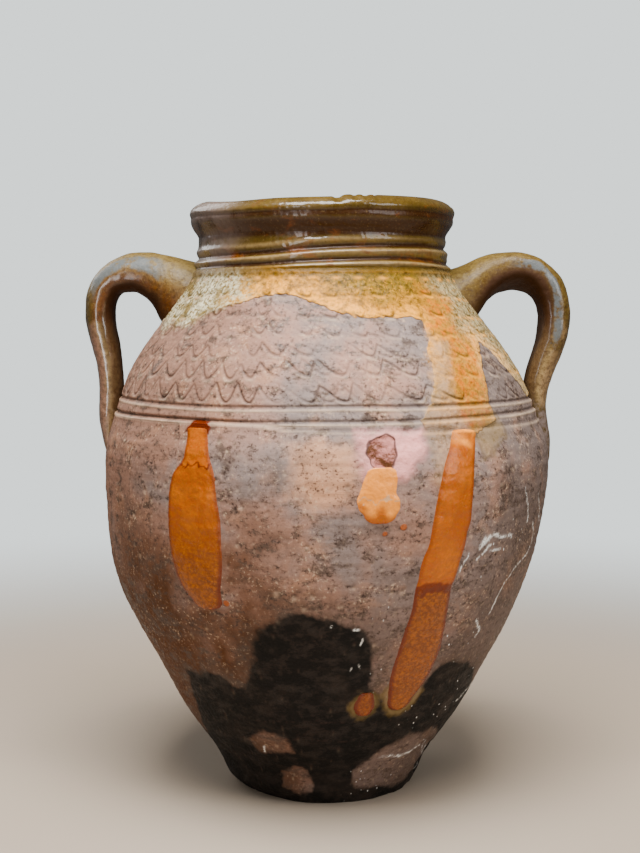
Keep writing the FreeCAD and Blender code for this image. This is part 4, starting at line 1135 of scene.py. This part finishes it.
def handle_look(graph, tan, low_tan, warm, blush, gloss, sheen_streak, bare_from):
    """Handle glaze: tan on top, brown below with painted shade on the underside, a painted grey sheen streak along
    the turn and a bare tail.

    The shares are how tan the top and the low part are, how rusty the front is, how mauve the outside
    is low down and how glossy the glaze is. The painted sheen streak is given as its start and end along
    the strap and its middle across it, and bare_from as a place along the strap.
    """
    tint = bpy.context.scene.jar_glaze
    along, across, edge = (graph.attribute(title) for title in ("along", "across", "edge"))
    speckle = graph.group("Glaze speckle")
    place = graph.place()
    cloud = speckle["Cloud"] - 0.5
    face = cloud * 0.8 + across
    moved = cloud * 0.5 + along
    front = edge.span(0.3, -0.5) * face.span(-0.7, -0.1) * moved.span(0.6, 0.45)
    rust = speckle["Cloud"].span(0.3, 0.7, 0.35, 0.85).mixed(tint.russet, tint.pooled_and_shaded)
    top = face.span(0.25, -0.45) * moved.span(0.55, 0.25)
    low = face.span(0.0, -0.6).most(edge.span(0.0, -0.6)) * moved.span(0.5, 0.66, 0.0, 0.75)
    # Painted shade: the underside and inner face are darkened, along with the darker glaze there
    under = face.span(0.05, 0.6) * along.span(0.05, 0.2, 0.3, 1.0) * along.span(0.45, 0.65, 0.97, 0.75)
    sheen_from, sheen_to, sheen_at = sheen_streak
    reach = along.span(sheen_from - 0.04, sheen_from + 0.04) * along.span(sheen_to + 0.04, sheen_to - 0.04)
    # Where the painted grey sheen streak lies along the turn
    wear_and_sheen = abs(face - sheen_at).span(0.36, 0.18) * reach * edge.span(0.4, -0.1)
    tail = (cloud * 0.1 + along).span(bare_from, bare_from + 0.04)
    tone = graph.coats(
        graph.noise(place, 0.02, 4, 0.6, 0.5).span(0.38, 0.62).mixed(tint.strap, tint.rim),
        (front * warm, rust),
        ((top * tan).most(low * low_tan), tint.tan),
        (low * 0.3, tint.pale),
        (face.span(0.2, -0.4) * moved.span(0.46, 0.62) * blush, tint.blush),
        (speckle["Speckle"] * 0.6, tint.pooled_and_shaded),
        (speckle["Glitter"] * 0.5, tint.tan),
        (under, tint.pooled_and_shaded),
        (wear_and_sheen * graph.noise(place, 0.006, 4, 0.6).span(0.34, 0.5) * 0.9, tint.sheen_streak),
        (tail, graph.noise(place, 0.004, 4, 0.7).span(0.4, 0.65).mixed(tint.bare_tail, tint.strap)))
    matt = tail.most(under * along.span(0.5, 0.4)).most(face.span(0.4, 0.75))
    shine = top.span(0.0, 0.6, gloss, 0.06) * along.span(0.2, 0.42, 0.08, 1.0)
    return {"Base Color": tone, "Roughness": matt.between(speckle["Cloud"].span(0.3, 0.7, 0.3, 0.5), 0.65),
            "Specular IOR Level": 0.2, "Coat Weight": matt.between(shine, 0.0), "Coat Roughness": 0.16,
            "Coat IOR": 1.8, "Normal": graph.bump(speckle["Height"], 0.8, 0.001)}


def amber_look(graph):
    """Clear orange glaze of the runs, redder and darker towards its rim and at its breaks."""
    tint = bpy.context.scene.jar_glaze
    dark, deepening = graph.attribute("dark"), graph.attribute("deepening")
    speckle = graph.group("Glaze speckle")
    cloud = speckle["Cloud"]
    inwards = graph.attribute("inwards") + (graph.noise(graph.place(), 0.004, 4) - 0.5) * 2.4
    tone = graph.coats(
        cloud.span(0.42, 0.7, 0.0, 0.5).mixed(tint.amber, tint.orange),
        (deepening * 0.8, tint.russet),
        (deepening * 0.35, tint.pooled_and_shaded),
        (speckle["Speckle"] * 0.75, tint.russet),
        (speckle["Glitter"] * 0.35, tint.honey),
        (graph.attribute("paleness") * cloud.span(0.3, 0.7, 0.8, 1.0), tint.apricot),
        (speckle["Speckle"] * 0.3, tint.orange),
        (inwards.span(3.6, 1.2, 0.0, 0.95) * graph.attribute("edging"), tint.amber_edge),
        (dark.span(0.0, 1.0, 0.0, 0.9), tint.amber_edge),
        (dark.span(0.0, -1.0, 0.0, 0.9), tint.pale))
    return {"Base Color": tone, "Roughness": cloud.span(0.3, 0.7, 0.2, 0.36), "Specular IOR Level": 0.25,
            "Coat Weight": 0.12, "Coat Roughness": 0.08, "Normal": graph.bump(speckle["Height"], 0.9, 0.001)}


def lining_look(graph):
    """Brown glaze of the inside."""
    tint = bpy.context.scene.jar_glaze
    speckle = graph.group("Glaze speckle")
    tone = graph.coats(
        speckle["Cloud"].span(0.35, 0.7).mixed(tint.lining, tint.olive),
        (speckle["Speckle"] * 0.4, tint.pooled_and_shaded),
        (speckle["Glitter"] * 0.3, tint.ridge))
    return {"Base Color": tone, "Roughness": speckle["Cloud"].span(0.3, 0.7, 0.18, 0.36), "Coat Weight": 0.5,
            "Coat Roughness": 0.12, "Normal": graph.bump(speckle["Height"], 0.4, 0.0006)}


def floor_look(graph):
    """Matt pale floor, which fades out into the backdrop far from the jar."""
    stage = bpy.context.scene.jar_stage
    place = graph.place()
    cloud = graph.noise(place, 0.3, 3)
    away = graph.node("ShaderNodeVectorMath", {0: place}, "Value", operation="LENGTH")
    return {"Base Color": cloud.span(0.3, 0.7, 0.0, 0.08).mixed(stage.floor, FLOOR_CLOUD),
            "Roughness": cloud.span(0.3, 0.7, 0.5, 0.62),
            "Normal": graph.bump(graph.noise(place, 0.012, 3), 0.1, 0.0008),
            "Alpha": away.span(FLOOR_GONE, FLOOR_WHOLE)}


# Operators, one for each piece or group of like pieces

class JAR_OT_foot(bpy.types.Operator):
    """Build the foot slab, with its worn heel and the floor of the jar"""
    bl_idname = "jar.foot"
    bl_label = "Foot"

    def execute(self, context):
        form = context.scene.jar_form
        azimuth = azimuths(form.columns)
        under = spaced_along(FOOT_UNDER, FOOT_UNDER, 2.5)[1]
        longer = np.append(np.linspace(0, FOOT_TOP, FOOT_ROWS), FOOT_TOP + 0.6)
        skin, masks = fired_clay(form, azimuth, smooth_through(OUTLINE, longer), longer)
        wear_and_sheen = np.linalg.norm(skin[0, :, :2], axis=-1) / OUTLINE[0][1]
        below = np.stack([under[:, 0, None] * wear_and_sheen * np.sin(azimuth), -under[:, 0, None] * wear_and_sheen * np.cos(azimuth),
                          np.broadcast_to(under[:, 1, None], (len(under), len(azimuth)))], -1)
        top = turned(azimuth, np.array([49.0, 30.0, 1.0]), np.full(3, FLOOR))
        normals = [np.zeros(below.shape) - (0, 0, 1), grid_normals(np.concatenate([below[-1:], skin]))[1:-1],
                   np.zeros(top.shape) + (0, 0, 1), [(0, 0, -1), (0, 0, 1)]]
        widened = {title: np.concatenate([np.repeat(values[:1], len(below), axis=0), values[:-1],
                                          np.zeros(top.shape[:2])]) for title, values in masks.items()}
        piece = loop_mesh("foot_skin", np.concatenate([below, skin[:-1], top]), False, widened,
                          np.concatenate([np.reshape(part, (-1, 3)) for part in normals]))
        finish_piece(piece, material_of("fired_clay_skin", body_look), "fired_clay", "foot_disc")
        return {"FINISHED"}


class JAR_OT_body(bpy.types.Operator):
    """Build the lower body, the belly and the shoulder with its band and combed waves"""
    bl_idname = "jar.body"
    bl_label = "Body sections"

    def execute(self, context):
        fine = context.scene.jar_form.row_height / MM * 0.85
        band_top = BAND + BAND_TALL
        middle = (band_top + NECK_ROOT) / 2
        skin = material_of("fired_clay_skin", body_look)
        wall_section("lower_body_skin", FOOT_TOP, KINK, BODY_ROW, skin, "fired_clay", "lower_body")
        wall_section("belly_skin", KINK, BAND, BODY_ROW, skin, "fired_clay", "belly")
        wall_section("shoulder_band", BAND, band_top, BAND_ROW, skin, "glazed_clay", "shoulder")
        wall_section("shoulder_lower", band_top, middle, fine, skin, "glazed_clay", "shoulder")
        wall_section("shoulder_upper", middle, NECK_ROOT, fine, skin, "glazed_clay", "shoulder")
        return {"FINISHED"}


class JAR_OT_neck(bpy.types.Operator):
    """Build the grooved neck collar and the rolled rim"""
    bl_idname = "jar.neck"
    bl_label = "Neck and rim"

    def execute(self, context):
        form = context.scene.jar_form
        skin = material_of("honey_glaze_skin", rim_look)
        wall_section("neck_skin", NECK_ROOT, NECK_TOP, NECK_ROW, skin, "honey_glaze", "neck_collar")
        below = np.array([[smooth_through(OUTLINE, NECK_TOP - NECK_ROW), NECK_TOP - NECK_ROW]])
        radius, height = np.concatenate([below, spaced_along(RIM, RIM, RIM_ROW)[1]]).T
        points, masks = fired_clay(form, azimuths(form.columns), radius, height, False)
        masks["pooled_and_shaded"] = np.clip(masks["pooled_and_shaded"] + smooth_through(RIM_HOLLOW, height)[:, None], -1, 1)
        masks = {title: values[1:] for title, values in masks.items()}
        piece = loop_mesh("rim_skin", points[1:], True, masks, grid_normals(points)[1:])
        finish_piece(piece, skin, "honey_glaze", "rolled_rim")
        return {"FINISHED"}


class JAR_OT_lining(bpy.types.Operator):
    """Build the glaze lining of the inside, with the rings left by throwing"""
    bl_idname = "jar.lining"
    bl_label = "Lining"

    def execute(self, context):
        columns = max(96, context.scene.jar_form.columns // 4)
        azimuth = 2 * pi * np.arange(columns) / columns
        height = np.concatenate([np.full(FLOOR_RINGS, FLOOR), np.linspace(FLOOR, LINING_TOP, LINING_ROWS)])
        radius = smooth_through(INSIDE, height) + LINING_SUNK
        radius[:FLOOR_RINGS] = np.linspace(2, 46, FLOOR_RINGS) + LINING_SUNK
        rings = np.sin(2 * pi * height[:, None] / LINING_PITCH - azimuth)
        rings *= 0.35 * (smooth_step(14, 30, height) * (1 - smooth_step(318, 330, height)))[:, None]
        face = turned(azimuth, radius - LINING_THICK, np.maximum(height, FLOOR + LINING_THICK))
        face = face + np.stack([rings * np.sin(azimuth), -rings * np.cos(azimuth), 0 * rings], -1)
        rows = np.concatenate([turned(azimuth, radius, height), face[::-1]])
        finish_piece(loop_mesh("lining_skin", rows, False), material_of("lining_glaze", lining_look),
                     "inner_glaze", "inner_glaze")
        return {"FINISHED"}


class JAR_OT_handles(bpy.types.Operator):
    """Build the two pulled strap handles"""
    bl_idname = "jar.handles"
    bl_label = "Handles"

    def execute(self, context):
        for side, stations, squareness, seed, look in HANDLES:
            glaze = material_of(side + "_handle_glaze", handle_look, **look)
            strap("handle_" + side + "_skin", stations, squareness, seed, glaze, "handle_" + side)
        return {"FINISHED"}


class JAR_OT_glaze_runs(bpy.types.Operator):
    """Build the orange glaze runs and drops on the front"""
    bl_idname = "jar.glaze_runs"
    bl_label = "Glaze runs"

    def execute(self, context):
        for name, *shape, node in RUNS:
            glaze_drop(name, *shape, material_of("amber_glaze_run", amber_look), node)
        return {"FINISHED"}


class JAR_OT_stage(bpy.types.Operator):
    """Set up the camera, the soft studio light and the pale floor"""
    bl_idname = "jar.stage"
    bl_label = "Stage"

    def execute(self, context):
        scene, stage = context.scene, context.scene.jar_stage
        data = bpy.data.cameras.new("camera")
        data.lens = stage.lens
        data.sensor_width = 36
        data.clip_end = 50
        scene.camera = put_in_scene("camera", data)
        scene.camera.location = (CAMERA_ASIDE, -stage.distance, stage.height)
        scene.camera.rotation_euler = (pi / 2 - stage.pitch, 0, 0)
        turn = np.linspace(0, 2 * pi, 64, endpoint=False)
        mesh = bpy.data.meshes.new("floor")
        mesh.from_pydata((FLOOR_RADIUS * np.stack([np.cos(turn), np.sin(turn), 0 * turn], -1)).tolist(), [],
                         [tuple(range(64))])
        mesh.materials.append(material_of("pale_floor", floor_look))
        floor = put_in_scene("floor", mesh)
        for name, place, target, size, power in LIGHTS:
            data = bpy.data.lights.new(name, "AREA")
            data.shape = "RECTANGLE"
            data.size, data.size_y = size
            data.energy = power
            lamp = put_in_scene(name, data)
            lamp.visible_camera = False
            lamp.location = place
            lamp.rotation_euler = (Vector(target) - Vector(place)).to_track_quat("-Z", "Y").to_euler()
        world = bpy.data.worlds.new("room")
        world.use_nodes = True
        graph = Graph(world.node_tree)
        background = world.node_tree.nodes["Background"].inputs
        graph.feed(background["Color"], stage.backdrop)
        seen = graph.node("ShaderNodeLightPath", {}, "Is Camera Ray")
        graph.feed(background["Strength"], seen.span(0.0, 1.0, ROOM_LIGHT, ROOM_SEEN))
        scene.world = world
        return {"FINISHED"}


SETTINGS = {"jar_form": JarForm, "jar_clay": JarClay, "jar_glaze": JarGlaze, "jar_stage": JarStage}
OPERATORS = (JAR_OT_foot, JAR_OT_body, JAR_OT_neck, JAR_OT_lining, JAR_OT_handles, JAR_OT_glaze_runs, JAR_OT_stage)


class JAR_PT_panel(bpy.types.Panel):
    """The jar's pieces and stage"""
    bl_idname = "JAR_PT_panel"
    bl_label = "Two-handled jar"
    bl_space_type = "VIEW_3D"
    bl_region_type = "UI"
    bl_category = "Jar"

    def draw(self, context):
        for operator in OPERATORS:
            self.layout.operator(operator.bl_idname)
        for name, kind in SETTINGS.items():
            column = self.layout.column()
            for title in kind.__annotations__:
                column.prop(getattr(context.scene, name), title)


CLASSES = (*SETTINGS.values(), *OPERATORS, JAR_PT_panel)


def register():
    for each in CLASSES:
        bpy.utils.register_class(each)
    for name, kind in SETTINGS.items():
        setattr(bpy.types.Scene, name, PointerProperty(type=kind))


def unregister():
    for name in SETTINGS:
        delattr(bpy.types.Scene, name)
    for each in reversed(CLASSES):
        bpy.utils.unregister_class(each)


def main():
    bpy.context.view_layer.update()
    register()
    for operator in OPERATORS:
        getattr(bpy.ops.jar, operator.bl_idname.split(".")[1])()


if __name__ == "__main__":
    main()
